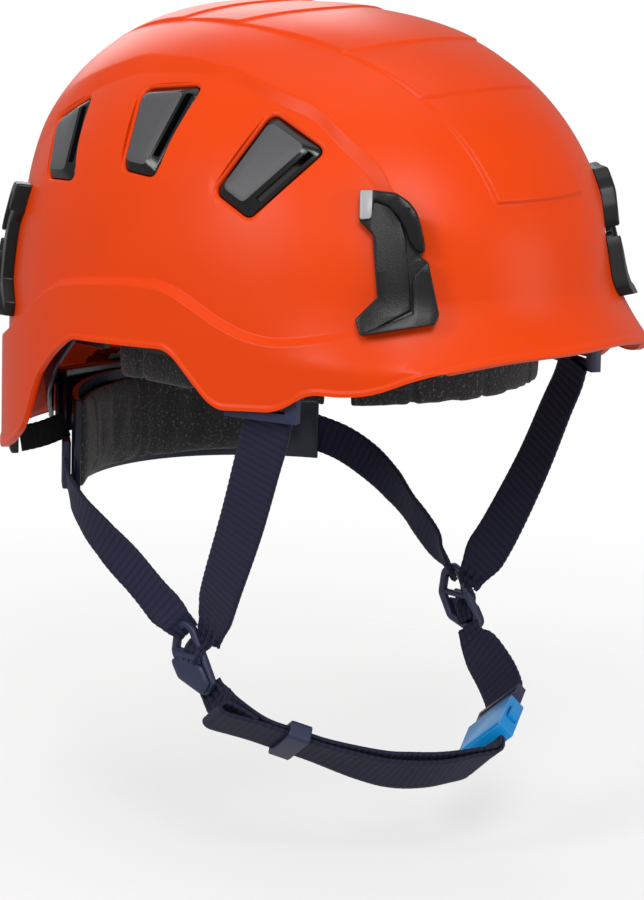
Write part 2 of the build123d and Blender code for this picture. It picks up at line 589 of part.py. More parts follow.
# Chin strap, right: the run to the buckle, and the tail that comes back through the keeper
keeper_at = Vector(*KEEPER_PATH[0])
keeper_along = Vector(*KEEPER_PATH[1]).normalized()
up = (-0.3, -0.8, 0.53)
buckle_along = Vector(*BUCKLE_ALONG).normalized()
fold_at = Vector(*BUCKLE_AT) - buckle_along * 1.9
before_fold = fold_at - buckle_along * 7
outward = keeper_along.cross(Vector(*up)).normalized()
run = [((-72.9, -31.5, -130.5), (0, -0.8, 0.6)), ((-72.2, -36.2, -136.2), (0, -0.8, 0.6))]
run += [((-70.2, -43.5, -139.8), (-0.25, -0.75, 0.6))]
run += [(keeper_at - keeper_along * 13, up), (keeper_at, up), (keeper_at + keeper_along * 13, up)]
run += [((-28.2, -75.7, -160.8), (-0.13, -0.79, 0.6)), ((-15, -80.5, -164.7), (-0.13, -0.71, 0.69))]
run += [((-2.4, -85.4, -165.9), (-0.1, -0.7, 0.7)), ((9.2, -88.5, -165.4), (0, -0.71, 0.7))]
run += [((before_fold.X, before_fold.Y, before_fold.Z), BUCKLE_ACROSS)]
run += [((fold_at.X, fold_at.Y, fold_at.Z), BUCKLE_ACROSS)]
inner_run = ribbon(run, WEB_WIDTH, WEB_THICK)
shifted = []
for i, (centre, across) in enumerate(run[3:]):
    ahead = Vector(*run[min(len(run) - 1, i + 4)][0]) - Vector(*run[i + 2][0])
    out = ahead.cross(Vector(*across)).normalized()
    shifted.append((Vector(*centre) + out * LAYER_GAP, across))
tail = ribbon(shifted, WEB_WIDTH, WEB_THICK)
fold_along = (Vector(*run[-1][0]) - Vector(*run[-2][0])).normalized()
fold_out = fold_along.cross(Vector(*run[-1][1])).normalized()
fold_centre = fold_at + fold_out * (LAYER_GAP / 2) + fold_along * (WEB_THICK / 2)
fold = Plane(origin=fold_centre, x_dir=fold_along, z_dir=fold_out)
fold_block = place_box(fold, (WEB_THICK, WEB_WIDTH, LAYER_GAP + WEB_THICK), (0, 0, 0))
loop_plane = Plane(origin=shifted[0][0], x_dir=-keeper_along, z_dir=outward.cross(keeper_along))
loop_outside = [(0, -0.8), (0, 0.8), (16, 1.8), (20, 1), (20.9, -1.2), (19.6, -3.8), (16, -4.4), (7, -2.4)]
loop_inside = [(5.5, -0.6), (15.9, 0.2), (18.9, -0.3), (19.3, -1.4), (18.5, -2.6), (16, -2.9)]
loop_face = make_face(Polyline(loop_outside, close=True)) - make_face(Polyline(loop_inside, close=True))
tail_loop = extrude(loop_plane * loop_face, amount=WEB_WIDTH / 2, both=True)
pieces = [inner_run, tail, fold_block, tail_loop]
write(Compound(children=pieces), "chin_strap_right")

# Keeper around both layers
keeper_plane = Plane(origin=keeper_at + outward * LAYER_GAP / 2, x_dir=keeper_along, z_dir=outward)
inside_high = LAYER_GAP + WEB_THICK + 0.8
keeper = place_box(keeper_plane, (9, WEB_WIDTH + 4.6, inside_high + 3), (0, 0, 0))
keeper = keeper - place_box(keeper_plane, (12, WEB_WIDTH + 1.0, inside_high), (0, 0, 0))
write(keeper, "strap_keeper")

# Buckle: blue body, the dark tongue that enters it, and the two sprung release arms
along = Vector(*BUCKLE_ALONG).normalized()
buckle = Plane(origin=BUCKLE_AT, x_dir=along, z_dir=Vector(*BUCKLE_OUT))
half_wide = BUCKLE_WIDTH / 2
body_length = BUCKLE_LENGTH
body = place_box(buckle, (body_length, BUCKLE_WIDTH, BUCKLE_THICK), (body_length / 2 + 1, 0, 0))
body = body - place_box(buckle, (body_length, BUCKLE_WIDTH - 5, 4.6), (body_length / 2 + 7, 0, 0))
body = body - place_box(buckle, (9, BUCKLE_WIDTH + 4, 4.6), (14, 0, 0))
body = body - place_box(buckle, (2.6, WEB_WIDTH + 1, 20), (3.4, 0, 0))
write(body, "buckle_body")
tongue_x = body_length + 1.5
tongue = place_box(buckle, (13, BUCKLE_WIDTH - 2, 4.2), (tongue_x + 6.5, 0, 0))
tongue = tongue - place_box(buckle, (3, WEB_WIDTH + 0.6, 20), (tongue_x + 9, 0, 0))
tongue = tongue + place_box(buckle, (16, 4, 3.6), (tongue_x - 7, 0, 0))
write(tongue, "buckle_tongue")
for side, name in ((1, "upper"), (-1, "lower")):
    shank = place_box(buckle, (15, 2.2, 3.8), (tongue_x - 7.9, side * 6.6, 0))
    pad = place_box(buckle, (7.6, 4.2, 3.8), (14, side * 9.8, 0))
    pad = pad + place_box(buckle, (7.6, 2.4, 3.8), (14, side * 12.6, 0))
    write(shank + pad, f"release_arm_{name}")

# Chin strap, left: from the tongue to the left divider
end = buckle.from_local_coords(Vector(tongue_x + 13.7, 0, 0))
left_run = [(end, BUCKLE_ACROSS), (end + along * 3, BUCKLE_ACROSS)]
left_run += [((68.3, -54, -147.5), (0.25, -0.72, 0.64)), ((71, -44.5, -141.5), (0.15, -0.78, 0.6))]
left_run += [((72.2, -36.2, -136.2), (0, -0.8, 0.6)), ((72.9, -31.5, -130.5), (0, -0.8, 0.6))]
write(ribbon(left_run, WEB_WIDTH, WEB_THICK), "chin_strap_left")
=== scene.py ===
# %% [markdown]
# A climbing helmet, dressed for a studio picture.
# The CAD model gives every size and every moving body. This notebook loads it, then adds the forms
# and finishes that moulded plastic, webbing and foam have on the real helmet. It works in the CAD
# frame: metres, up is +Z, the face looks along -Y and the wearer's right hand is on the -X side.
# Forms are drawn in millimetres, and scaled to metres when a piece is closed.

# %% Load the frame
import json
import math
import bpy
import bmesh
from mathutils import Matrix, Vector
from mathutils.bvhtree import BVHTree

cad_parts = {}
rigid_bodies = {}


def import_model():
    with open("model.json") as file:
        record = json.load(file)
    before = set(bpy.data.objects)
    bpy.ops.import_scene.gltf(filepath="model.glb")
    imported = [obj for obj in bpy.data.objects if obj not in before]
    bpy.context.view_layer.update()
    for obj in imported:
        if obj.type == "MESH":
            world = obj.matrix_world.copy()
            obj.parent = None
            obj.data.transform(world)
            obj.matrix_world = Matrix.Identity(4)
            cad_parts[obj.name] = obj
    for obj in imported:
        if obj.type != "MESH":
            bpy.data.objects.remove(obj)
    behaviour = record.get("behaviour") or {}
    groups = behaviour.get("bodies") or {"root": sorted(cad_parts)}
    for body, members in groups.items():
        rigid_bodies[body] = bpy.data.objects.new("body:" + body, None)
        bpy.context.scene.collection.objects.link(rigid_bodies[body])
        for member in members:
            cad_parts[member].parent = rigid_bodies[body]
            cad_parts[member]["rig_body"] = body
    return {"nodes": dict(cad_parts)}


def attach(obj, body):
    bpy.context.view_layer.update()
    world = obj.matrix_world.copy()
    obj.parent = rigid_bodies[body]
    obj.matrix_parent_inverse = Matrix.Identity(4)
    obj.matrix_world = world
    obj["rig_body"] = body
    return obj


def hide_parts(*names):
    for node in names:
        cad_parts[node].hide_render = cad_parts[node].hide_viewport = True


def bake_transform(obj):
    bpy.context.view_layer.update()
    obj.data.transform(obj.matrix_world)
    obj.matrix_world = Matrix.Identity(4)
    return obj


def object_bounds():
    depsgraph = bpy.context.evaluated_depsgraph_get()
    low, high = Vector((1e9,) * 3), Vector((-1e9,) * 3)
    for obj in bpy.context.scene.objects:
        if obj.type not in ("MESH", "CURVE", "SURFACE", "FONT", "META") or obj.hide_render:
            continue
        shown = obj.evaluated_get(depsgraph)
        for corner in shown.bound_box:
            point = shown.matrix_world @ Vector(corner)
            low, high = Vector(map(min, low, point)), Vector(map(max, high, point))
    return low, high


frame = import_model()
cad_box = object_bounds()
MM = 0.001
TO_MM = 1000

# %% [markdown]
# The camera stands to the wearer's front right, a little above the brim. A near camera with a short
# lens would swell the brim and shrink the nape, so it stands far off with a long lens, which keeps the
# dome's outline true. The lens's shift then places the helmet in the frame without turning the camera.

# %% Camera
CAMERA_AZIMUTH = math.radians(-44)
CAMERA_RISE = math.radians(10.4)
CAMERA_ROLL = math.radians(1.3)
CAMERA_AWAY = 1.640
LENS_LENGTH = 162
LENS_SHIFT = (0.0289, -0.1372)

back = Vector((math.sin(CAMERA_AZIMUTH) * math.cos(CAMERA_RISE),
               -math.cos(CAMERA_AZIMUTH) * math.cos(CAMERA_RISE), math.sin(CAMERA_RISE)))
level = Vector((math.cos(CAMERA_AZIMUTH), math.sin(CAMERA_AZIMUTH), 0))
right = level * math.cos(CAMERA_ROLL) + back.cross(level) * math.sin(CAMERA_ROLL)
above = back.cross(right)
lens = bpy.data.cameras.new("studio_camera")
lens.sensor_fit = "VERTICAL"
lens.sensor_height = 36
lens.lens = LENS_LENGTH
lens.shift_x, lens.shift_y = LENS_SHIFT
camera = bpy.data.objects.new("studio_camera", lens)
turned = Matrix((right, above, back)).transposed().to_4x4()
camera.matrix_world = Matrix.Translation(back * CAMERA_AWAY) @ turned
bpy.context.scene.collection.objects.link(camera)
bpy.context.scene.camera = camera
print("camera at", tuple(round(c, 3) for c in camera.location))

# %% [markdown]
# Satin plastic shows the lights as highlights, so the lights are chosen by what they draw on the
# dome. A small lamp would draw a hard spot. Large soft boxes give broad, soft patches instead: a key
# high in front, one at the wearer's right that lights the side between the vents, a wide fill low in
# front, one overhead and one behind the far shoulder.

# %% Soft boxes
def soft_box(name, at, aim, size, power):
    """A square area light of a size, pointing at a spot."""
    light = bpy.data.lights.new(name, "AREA")
    light.shape = "RECTANGLE"
    light.size, light.size_y = size
    light.energy = power
    holder = bpy.data.objects.new(name, light)
    holder.location = at
    holder.rotation_euler = (Vector(aim) - Vector(at)).to_track_quat("-Z", "Y").to_euler()
    bpy.context.scene.collection.objects.link(holder)


soft_box("key_light", (-0.95, -1.25, 1.30), (0, 0, 0.03), (0.7, 0.7), 15)
soft_box("side_light", (-1.70, 0.14, 0.84), (0, 0, 0.02), (0.5, 0.8), 11)
soft_box("front_fill", (0.55, -1.7, 0.10), (0, 0, 0.0), (1.0, 1.2), 8)
soft_box("top_light", (0.1, 0.15, 1.6), (0, 0, 0.05), (1.2, 1.2), 4)
soft_box("rear_light", (0.9, 1.5, 0.7), (0, 0, 0.0), (1.0, 1.0), 7)
print("soft boxes", sum(light.energy for light in bpy.data.lights), "W in all")

# %% [markdown]
# The room is white. The camera has to see it as pure white, but a sky that bright would wash out the
# highlights, so the world gives the camera full white and the helmet about a third of it. The Light
# Path node tells the two apart.

# %% White room
SKY_LIGHT, SKY_SEEN = 0.36, 1.0
world = bpy.data.worlds.new("studio")
world.use_nodes = True
sky = world.node_tree
sky.nodes["Background"].inputs["Color"].default_value = (1, 1, 1, 1)
lit_sky = sky.nodes.new("ShaderNodeMapRange")
lit_sky.inputs["To Min"].default_value = SKY_LIGHT
lit_sky.inputs["To Max"].default_value = SKY_SEEN
seen = sky.nodes.new("ShaderNodeLightPath")
sky.links.new(seen.outputs["Is Camera Ray"], lit_sky.inputs["Value"])
sky.links.new(lit_sky.outputs[0], sky.nodes["Background"].inputs["Strength"])
bpy.context.scene.world = world
bpy.context.scene.view_settings.view_transform = "Standard"
print("world", world.name)

# %% [markdown]
# A pale floor takes what shadow falls under the chin strap. A plain plane would show where it ends, so it
# gets clearer with the distance from the middle and has gone long before its edge.

# %% Fading floor
FLOOR_DROP = 0.03
FLOOR_HALF = 14
FADE_FROM, FADE_TO, FLOOR_STRENGTH = 0.16, 0.62, 0.5
floor_z = cad_box[0][2] - FLOOR_DROP
floor_mesh = bmesh.new()
bmesh.ops.create_grid(floor_mesh, x_segments=1, y_segments=1, size=FLOOR_HALF)
bmesh.ops.translate(floor_mesh, verts=floor_mesh.verts, vec=(0, 0, floor_z))
floor_data = bpy.data.meshes.new("studio_floor")
floor_mesh.to_mesh(floor_data)
floor_mesh.free()
studio_floor = bpy.data.objects.new("studio_floor", floor_data)
bpy.context.scene.collection.objects.link(studio_floor)
floor_paint = bpy.data.materials.new("pale_floor")
floor_paint.use_nodes = True
floor_nodes = floor_paint.node_tree
floor_shader = floor_nodes.nodes["Principled BSDF"]
floor_shader.inputs["Base Color"].default_value = (0.95, 0.95, 0.95, 1)
floor_shader.inputs["Roughness"].default_value = 0.9
floor_shader.inputs["Specular IOR Level"].default_value = 0.1
reach = floor_nodes.nodes.new("ShaderNodeVectorMath")
reach.operation = "LENGTH"
floor_spot = floor_nodes.nodes.new("ShaderNodeTexCoord")
floor_nodes.links.new(floor_spot.outputs["Object"], reach.inputs[0])
fade = floor_nodes.nodes.new("ShaderNodeMapRange")
fade.inputs["From Min"].default_value = FADE_FROM
fade.inputs["From Max"].default_value = FADE_TO
fade.inputs["To Min"].default_value = FLOOR_STRENGTH
fade.inputs["To Max"].default_value = 0.0
floor_nodes.links.new(reach.outputs["Value"], fade.inputs["Value"])
floor_nodes.links.new(fade.outputs[0], floor_shader.inputs["Alpha"])
floor_data.materials.append(floor_paint)
print("floor at", round(floor_z, 3))

# %% [markdown]
# Three effects come back in many finishes: the fine grain of moulded plastic, the rows of woven
# webbing, and the flecked cover of foam. Each could be built again in every material, but a node
# group is built once and placed in each material with its own values. The helpers below name a
# group's sockets, add one Math node, and shade a colour by a mask.

# %% Shader helpers
def sockets(group, inputs, outputs):
    """Name a group's sockets; inputs carry their kind and value."""
    for name, kind, value in inputs:
        socket = group.interface.new_socket(name, in_out="INPUT", socket_type=kind)
        socket.default_value = value
    for name, kind in outputs:
        group.interface.new_socket(name, in_out="OUTPUT", socket_type=kind)
    return group.nodes.new("NodeGroupInput"), group.nodes.new("NodeGroupOutput")


def sum_node(group, kind, first, second, third=None):
    """A Math node with its inputs linked or set."""
    node = group.nodes.new("ShaderNodeMath")
    node.operation = kind
    for slot, value in enumerate((first, second, third)):
        if isinstance(value, (int, float)):
            node.inputs[slot].default_value = value
        elif value is not None:
            group.links.new(value, node.inputs[slot])
    return node.outputs[0]


def shade(group, colour, amount, low, high):
    """A colour made darker or lighter as a mask runs from 0 to 1."""
    factor = group.nodes.new("ShaderNodeMapRange")
    factor.inputs["To Min"].default_value = low
    factor.inputs["To Max"].default_value = high
    group.links.new(amount, factor.inputs["Value"])
    scale = group.nodes.new("ShaderNodeVectorMath")
    scale.operation = "SCALE"
    group.links.new(colour, scale.inputs[0])
    group.links.new(factor.outputs[0], scale.inputs["Scale"])
    return scale.outputs[0]


# %% [markdown]
# Moulded plastic is never quite even. A fine noise stands for the texture that the mould was etched
# with, and a wide, weak one changes the colour and the gloss from place to place, as cooling does.
# Both read Object coordinates, so the grain stays with the piece when it moves.

# %% Moulded grain
FLOAT, COLOUR = "NodeSocketFloat", "NodeSocketColor"
grain = bpy.data.node_groups.new("moulded_grain", "ShaderNodeTree")
SURFACE = [("Colour", COLOUR), ("Roughness", FLOAT), ("Height", FLOAT)]
source, result = sockets(grain, [("Colour", COLOUR, (0.5, 0.5, 0.5, 1)), ("Cells per metre", FLOAT, 900.0),
                                 ("Roughness", FLOAT, 0.4), ("Gloss change", FLOAT, 0.08)], SURFACE)
place = grain.nodes.new("ShaderNodeTexCoord")
fine = grain.nodes.new("ShaderNodeTexNoise")
fine.inputs["Detail"].default_value = 3
wide = grain.nodes.new("ShaderNodeTexNoise")
wide.inputs["Scale"].default_value = 22
wide.inputs["Detail"].default_value = 2
for texture in (fine, wide):
    grain.links.new(place.outputs["Object"], texture.inputs["Vector"])
grain.links.new(source.outputs["Cells per metre"], fine.inputs["Scale"])
tinted = shade(grain, source.outputs["Colour"], wide.outputs["Fac"], 0.93, 1.07)
grain.links.new(tinted, result.inputs["Colour"])
swing = sum_node(grain, "SUBTRACT", wide.outputs["Fac"], 0.5)
rough = sum_node(grain, "MULTIPLY_ADD", swing, source.outputs["Gloss change"], source.outputs["Roughness"])
grain.links.new(rough, result.inputs["Roughness"])
grain.links.new(fine.outputs["Fac"], result.inputs["Height"])
print("group", grain.name)

# %% [markdown]
# Webbing is woven in rows that run across the strap, with a groove between each two. The ribs
# themselves are in the mesh of the straps; this group paints the grooves' shade into the colour as a
# darker band, and adds the yarns along the strap and some fuzz. It reads the strap's own UV map, which
# is laid in metres, because Object coordinates would not follow a strap round its bends.

# %% Woven rows
weave = bpy.data.node_groups.new("woven_rows", "ShaderNodeTree")
source, result = sockets(weave, [("Colour", COLOUR, (0.02, 0.03, 0.08, 1)), ("Row", FLOAT, 0.003),
                                 ("Yarn", FLOAT, 0.001), ("Groove shade", FLOAT, 0.6)], SURFACE)
cloth_map = weave.nodes.new("ShaderNodeUVMap")
split = weave.nodes.new("ShaderNodeSeparateXYZ")
weave.links.new(cloth_map.outputs[0], split.inputs[0])
fuzz = weave.nodes.new("ShaderNodeTexNoise")
fuzz.inputs["Scale"].default_value = 900
spot = weave.nodes.new("ShaderNodeTexCoord")
weave.links.new(spot.outputs["Object"], fuzz.inputs["Vector"])
across = sum_node(weave, "DIVIDE", split.outputs["X"], source.outputs["Yarn"])
rows = sum_node(weave, "DIVIDE", split.outputs["Y"], source.outputs["Row"])
row_wave = sum_node(weave, "SINE", sum_node(weave, "MULTIPLY", rows, math.pi), 0.0)
ridge = sum_node(weave, "POWER", sum_node(weave, "ABSOLUTE", row_wave, 0.0), 0.55)
yarn_wave = sum_node(weave, "SINE", sum_node(weave, "MULTIPLY", across, math.tau), 0.0)
yarn_wave = sum_node(weave, "MULTIPLY_ADD", yarn_wave, 0.10, 0.0)
worn = sum_node(weave, "ADD", sum_node(weave, "MULTIPLY", fuzz.outputs["Fac"], 0.45), yarn_wave)
# Painted shade: the colour is darkened in the grooves between the ribs, where shade falls.
dark = sum_node(weave, "MULTIPLY", sum_node(weave, "SUBTRACT", 1.0, ridge), source.outputs["Groove shade"])
tone = sum_node(weave, "SUBTRACT", sum_node(weave, "ADD", worn, 0.5), dark)
weave.links.new(shade(weave, source.outputs["Colour"], tone, 0.35, 1.45), result.inputs["Colour"])
weave.links.new(sum_node(weave, "MULTIPLY_ADD", fuzz.outputs["Fac"], 0.2, 0.6), result.inputs["Roughness"])
height = sum_node(weave, "ADD", sum_node(weave, "MULTIPLY", ridge, 0.6), worn)
weave.links.new(height, result.inputs["Height"])
print("group", weave.name)

# %% [markdown]
# The pads are foam under a knitted cover, near black with grey flecks. Only the peaks of a noise are
# kept, as scattered flecks, and a Voronoi texture gives the surface small round cells.

# %% Foam cells
foam = bpy.data.node_groups.new("foam_cells", "ShaderNodeTree")
source, result = sockets(foam, [("Colour", COLOUR, (0.02, 0.02, 0.02, 1)),
                                ("Fleck", COLOUR, (0.2, 0.2, 0.2, 1)),
                                ("Cells per metre", FLOAT, 700.0)], SURFACE)
place = foam.nodes.new("ShaderNodeTexCoord")
cells = foam.nodes.new("ShaderNodeTexVoronoi")
flecks = foam.nodes.new("ShaderNodeTexNoise")
flecks.inputs["Detail"].default_value = 2
foam.links.new(place.outputs["Object"], cells.inputs["Vector"])
foam.links.new(place.outputs["Object"], flecks.inputs["Vector"])
foam.links.new(source.outputs["Cells per metre"], cells.inputs["Scale"])
foam.links.new(source.outputs["Cells per metre"], flecks.inputs["Scale"])
fleck_mask = foam.nodes.new("ShaderNodeMapRange")
fleck_mask.inputs["From Min"].default_value = 0.58
fleck_mask.inputs["From Max"].default_value = 0.70
foam.links.new(flecks.outputs["Fac"], fleck_mask.inputs["Value"])
blend_colours = foam.nodes.new("ShaderNodeMix")
blend_colours.data_type = "RGBA"
foam.links.new(fleck_mask.outputs[0], blend_colours.inputs["Factor"])
foam.links.new(source.outputs["Colour"], blend_colours.inputs["A"])
foam.links.new(source.outputs["Fleck"], blend_colours.inputs["B"])
foam.links.new(blend_colours.outputs["Result"], result.inputs["Colour"])
rough = sum_node(foam, "MULTIPLY_ADD", cells.outputs["Distance"], 0.1, 0.8)
foam.links.new(rough, result.inputs["Roughness"])
foam.links.new(cells.outputs["Distance"], result.inputs["Height"])
print("group", foam.name)

# %% [markdown]
# A finish is a Principled shader fed by one of the three groups. What changes over the surface comes
# from the group: colour, roughness and a height for the bump. What does not is set on the shader's
# own sockets. The colours are the helmet's own: signal orange, navy and several blacks, of which the
# polished and the matt one lie side by side on the vents.

# %% Finishes
def finish_of(name, group, values, bump, depth, **shader):
    """A Principled material fed by one of the groups; shader sets the sockets that don't vary."""
    material = bpy.data.materials.new(name)
    material.use_nodes = True
    nodes, links = material.node_tree.nodes, material.node_tree.links
    principled = nodes["Principled BSDF"]
    effect = nodes.new("ShaderNodeGroup")
    effect.node_tree = group
    for key, value in values.items():
        effect.inputs[key].default_value = value
    links.new(effect.outputs["Colour"], principled.inputs["Base Color"])
    links.new(effect.outputs["Roughness"], principled.inputs["Roughness"])
    relief = nodes.new("ShaderNodeBump")
    relief.inputs["Strength"].default_value = bump
    relief.inputs["Distance"].default_value = depth
    links.new(effect.outputs["Height"], relief.inputs["Height"])
    links.new(relief.outputs["Normal"], principled.inputs["Normal"])
    for key, value in shader.items():
        principled.inputs[key.replace("_", " ")].default_value = value
    return material


SHELL_ORANGE = (0.86, 0.060, 0.001, 1)
NAVY_CLOTH = (0.013, 0.014, 0.040, 1)
VENT_PLATE = (0.085, 0.085, 0.090, 1)
VENT_GLOSS = (0.005, 0.005, 0.006, 1)
CLIP_BLACK = (0.006, 0.006, 0.0065, 1)
INNER_BLACK = (0.014, 0.014, 0.015, 1)
NAVY_PLASTIC = (0.020, 0.026, 0.070, 1)
CRADLE_NAVY = (0.010, 0.013, 0.032, 1)
BUCKLE_BLUE = (0.004, 0.29, 0.72, 1)
STEEL = (0.55, 0.55, 0.56, 1)
ELASTIC_BLACK = (0.010, 0.010, 0.012, 1)
PAD_BLACK, PAD_FLECK = (0.014, 0.014, 0.016, 1), (0.10, 0.10, 0.11, 1)


def moulded(name, colour, cells, roughness, bump, depth=0.0002, gloss_change=0.08, **shader):
    """A finish of moulded grain."""
    values = {"Colour": colour, "Cells per metre": cells, "Roughness": roughness,
              "Gloss change": gloss_change}
    return finish_of(name, grain, values, bump, depth, **shader)


shell_orange = moulded("shell_orange", SHELL_ORANGE, 700, 0.36, 0.05, gloss_change=0.10,
                       Specular_IOR_Level=0.2)
vent_plate_black = moulded("vent_plate_black", VENT_PLATE, 2600, 0.42, 0.5)
vent_gloss_black = moulded("vent_gloss_black", VENT_GLOSS, 1500, 0.18, 0.06, depth=0.0001)
clip_black = moulded("clip_black", CLIP_BLACK, 2200, 0.33, 0.3, Specular_IOR_Level=0.35)
inner_black = moulded("inner_black", INNER_BLACK, 1600, 0.45, 0.2)
navy_plastic = moulded("navy_plastic", NAVY_PLASTIC, 1800, 0.42, 0.25)
cradle_navy = moulded("cradle_navy", CRADLE_NAVY, 1500, 0.25, 0.1)
buckle_blue = moulded("buckle_blue", BUCKLE_BLUE, 1500, 0.30, 0.1)
bright_steel = moulded("bright_steel", STEEL, 2500, 0.28, 0.1, depth=0.0001, Metallic=1.0)
webbing_look = {"Colour": NAVY_CLOTH, "Row": 0.0029, "Yarn": 0.0012}
elastic_look = {"Colour": ELASTIC_BLACK, "Row": 0.0014, "Yarn": 0.0009}
pad_look = {"Colour": PAD_BLACK, "Fleck": PAD_FLECK, "Cells per metre": 900}
webbing = finish_of("webbing_navy", weave, webbing_look, 0.5, 0.0003, Sheen_Weight=0.05, Sheen_Roughness=0.5,
                    Specular_IOR_Level=0.25)
elastic = finish_of("elastic_black", weave, elastic_look, 0.5, 0.0003, Specular_IOR_Level=0.25)
pad_cloth = finish_of("pad_cloth", foam, pad_look, 0.7, 0.0004, Sheen_Weight=0.2)
print("finishes", sorted(material.name for material in bpy.data.materials))

# %% [markdown]
# CAD nodes whose shape is already right keep their mesh and only get a finish. That is enough for
# the pins, screws, spring, racks and gear, which lie deep inside. Later cells replace the nodes that
# need softer or finer forms; they are given a finish here as well, so that none is ever left bare.

# %% Finishes on the CAD nodes
NODE_FINISHES = {
    shell_orange: ["shell"],
    vent_plate_black: [n for n in frame["nodes"] if n.startswith("vent_insert")],
    clip_black: [n for n in frame["nodes"] if n.startswith("lamp_clip")],
    inner_black: ["headband", "suspension_hooks", "nape_strap_clips", "rear_strap_anchors", "adjuster_knob"],
    cradle_navy: ["cradle_arm_left", "cradle_arm_right", "nape_frame", "adjuster_housing", "adjuster_cover",
                  "rack_left", "rack_right", "drive_gear"],
    navy_plastic: ["divider_left", "divider_right", "divider_leaf_left", "divider_leaf_right",
                   "strap_keeper", "buckle_tongue", "chin_anchor_left", "chin_anchor_right"],
    buckle_blue: ["buckle_body", "release_arm_upper", "release_arm_lower"],
    bright_steel: ["cradle_pivot_pins", "cover_screws", "knob_screw", "ratchet_spring"],
    webbing: [n for n in frame["nodes"] if n.startswith(("front_strap", "chin_strap", "crown_strap"))]
             + ["rear_strap_left", "rear_strap_right"],
    elastic: ["nape_strap_left", "nape_strap_right"],
    pad_cloth: [n for n in frame["nodes"] if "_pad" in n],
}
dressed = 0
for material, names in NODE_FINISHES.items():
    for name in names:
        data = frame["nodes"][name].data
        data.materials.clear()
        data.materials.append(material)
        dressed += 1
print("CAD nodes with a finish:", dressed)


# %% [markdown]
# The forms below follow formulas and lines of points. A line of points alone has corners, and real
# mouldings have none, so lines are averaged over a short reach and steps run up a smooth ramp. That
# is cheaper than fitting a spline, and a point can be moved without upsetting the rest of its line.

# %% Soft ramps and lines
def smooth_step(value, low, high):
    """Ramp from 0 at low to 1 at high."""
    t = max(0.0, min(1.0, (value - low) / (high - low)))
    return t * t * (3 - 2 * t)


def on_line(line, y):
    """Height of a line given as (y, z) points, at y."""
    for (y0, z0), (y1, z1) in zip(line, line[1:]):
        if y <= y1:
            return z0 + (z1 - z0) * (max(y, y0) - y0) / (y1 - y0)
    return line[-1][1]


def softened(line, y, reach):
    """The same, averaged over a reach, so its corners are round."""
    steps = (-1, -0.5, 0, 0.5, 1)
    return sum(on_line(line, y + reach * s) for s in steps) / len(steps)


print("a ramp, a quarter of the way:", smooth_step(0.25, 0, 1))

# %% [markdown]
# Every piece ends the same way: its drawn mesh is scaled to metres, gets its materials, smooth faces
# with sharp edges kept, and a body to ride on. Soft pieces get no body; their placement is baked into the
# mesh instead.
# Modifiers do the heavy work, and are then turned into plain mesh, so that the next step can read it.

# %% From a drawn mesh to a piece
def piece(name, bm, body, materials, replaces=(), smooth=40):
    """Close a bmesh drawn in millimetres into a finished object that rides on a body."""
    bmesh.ops.scale(bm, verts=bm.verts, vec=(MM, MM, MM))
    data = bpy.data.meshes.new(name)
    bm.to_mesh(data)
    bm.free()
    for material in materials:
        data.materials.append(material)
    for face in data.polygons:
        face.use_smooth = True
    data.set_sharp_from_angle(angle=math.radians(smooth))
    made = bpy.data.objects.new(name, data)
    bpy.context.scene.collection.objects.link(made)
    if body:
        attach(made, body)
    if replaces:
        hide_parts(*replaces)
    print(name, len(data.polygons), "faces")
    return made


def blended(made):
    """Bake a piece's placement into its mesh."""
    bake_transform(made)


def apply_modifiers(made):
    """Turn a piece's live modifiers into its mesh."""
    evaluated = made.evaluated_get(bpy.context.evaluated_depsgraph_get())
    data = bpy.data.meshes.new_from_object(evaluated)
    old = made.data
    made.modifiers.clear()
    made.data = data
    bpy.data.meshes.remove(old)
    data.name = made.name


HANDS = (("right", False), ("left", True))
print("each hand, and whether it is a mirror image:", HANDS)

# %% [markdown]
# The shell is one injection-moulded dome. Its plan is two half ellipses and its side a superellipse.
# A flat grid is wrapped on that form by its own formula: columns run round the helmet, rows from
# the rim up to the crown, so the rim is an edge of the grid and comes out clean. A sculpted ball
# would need its rim cut, and its steps would wander. This cell gives the plain dome.

# %% The plain dome
FRONT, REAR, HALF_WIDTH = 147.5, 131.0, 104.0
BASE_Z, RISE, POWER = -9.5, 138.8, 2.66


def height_factor(z):
    """Plan scale of the dome at height z."""
    h = max(0.0, min(1.0, (z - BASE_Z) / RISE))
    return (1 - h ** POWER) ** (1 / POWER)


def wall_x(y, z):
    """Half width of the plain dome at y and z."""
    length = FRONT if y < 0 else REAR
    return HALF_WIDTH * math.sqrt(max(0.0, height_factor(z) ** 2 - (y / length) ** 2))


def wall_normal(x, y, z):
    """Outward direction of the plain dome at a point on it."""
    length = FRONT if y < 0 else REAR
    rho = math.hypot(x / HALF_WIDTH, y / length)
    h = max(1e-6, (z - BASE_Z) / RISE)
    plan = max(rho, 1e-4) ** (POWER - 2)
    return Vector((plan * x / HALF_WIDTH ** 2, plan * y / length ** 2, h ** (POWER - 1) / RISE)).normalized()


print("half width at the base", wall_x(0, BASE_Z), "mm, crown at", BASE_Z + RISE, "mm")

# %% [markdown]
# The rows of the grid should be evenly spaced along the wall. In even steps of height they would lie
# close on the upright sides and far apart near the crown, where the dome is almost flat. So the curve
# from base to crown is walked once in small steps, and its lengths are kept to look up later.

# %% Lengths along the meridian
MERIDIAN_STEPS, MEAN_REACH = 240, 120
meridian = []
walked = 0.0
for step in range(MERIDIAN_STEPS + 1):
    phi = math.pi / 2 * step / MERIDIAN_STEPS
    spot = (math.cos(phi) ** (2 / POWER), BASE_Z + RISE * math.sin(phi) ** (2 / POWER))
    if meridian:
        walked += math.hypot((spot[0] - meridian[-1][1]) * MEAN_REACH, spot[1] - meridian[-1][2])
    meridian.append((walked, spot[0], spot[1]))
print("meridian length", round(walked), "mm above the base")


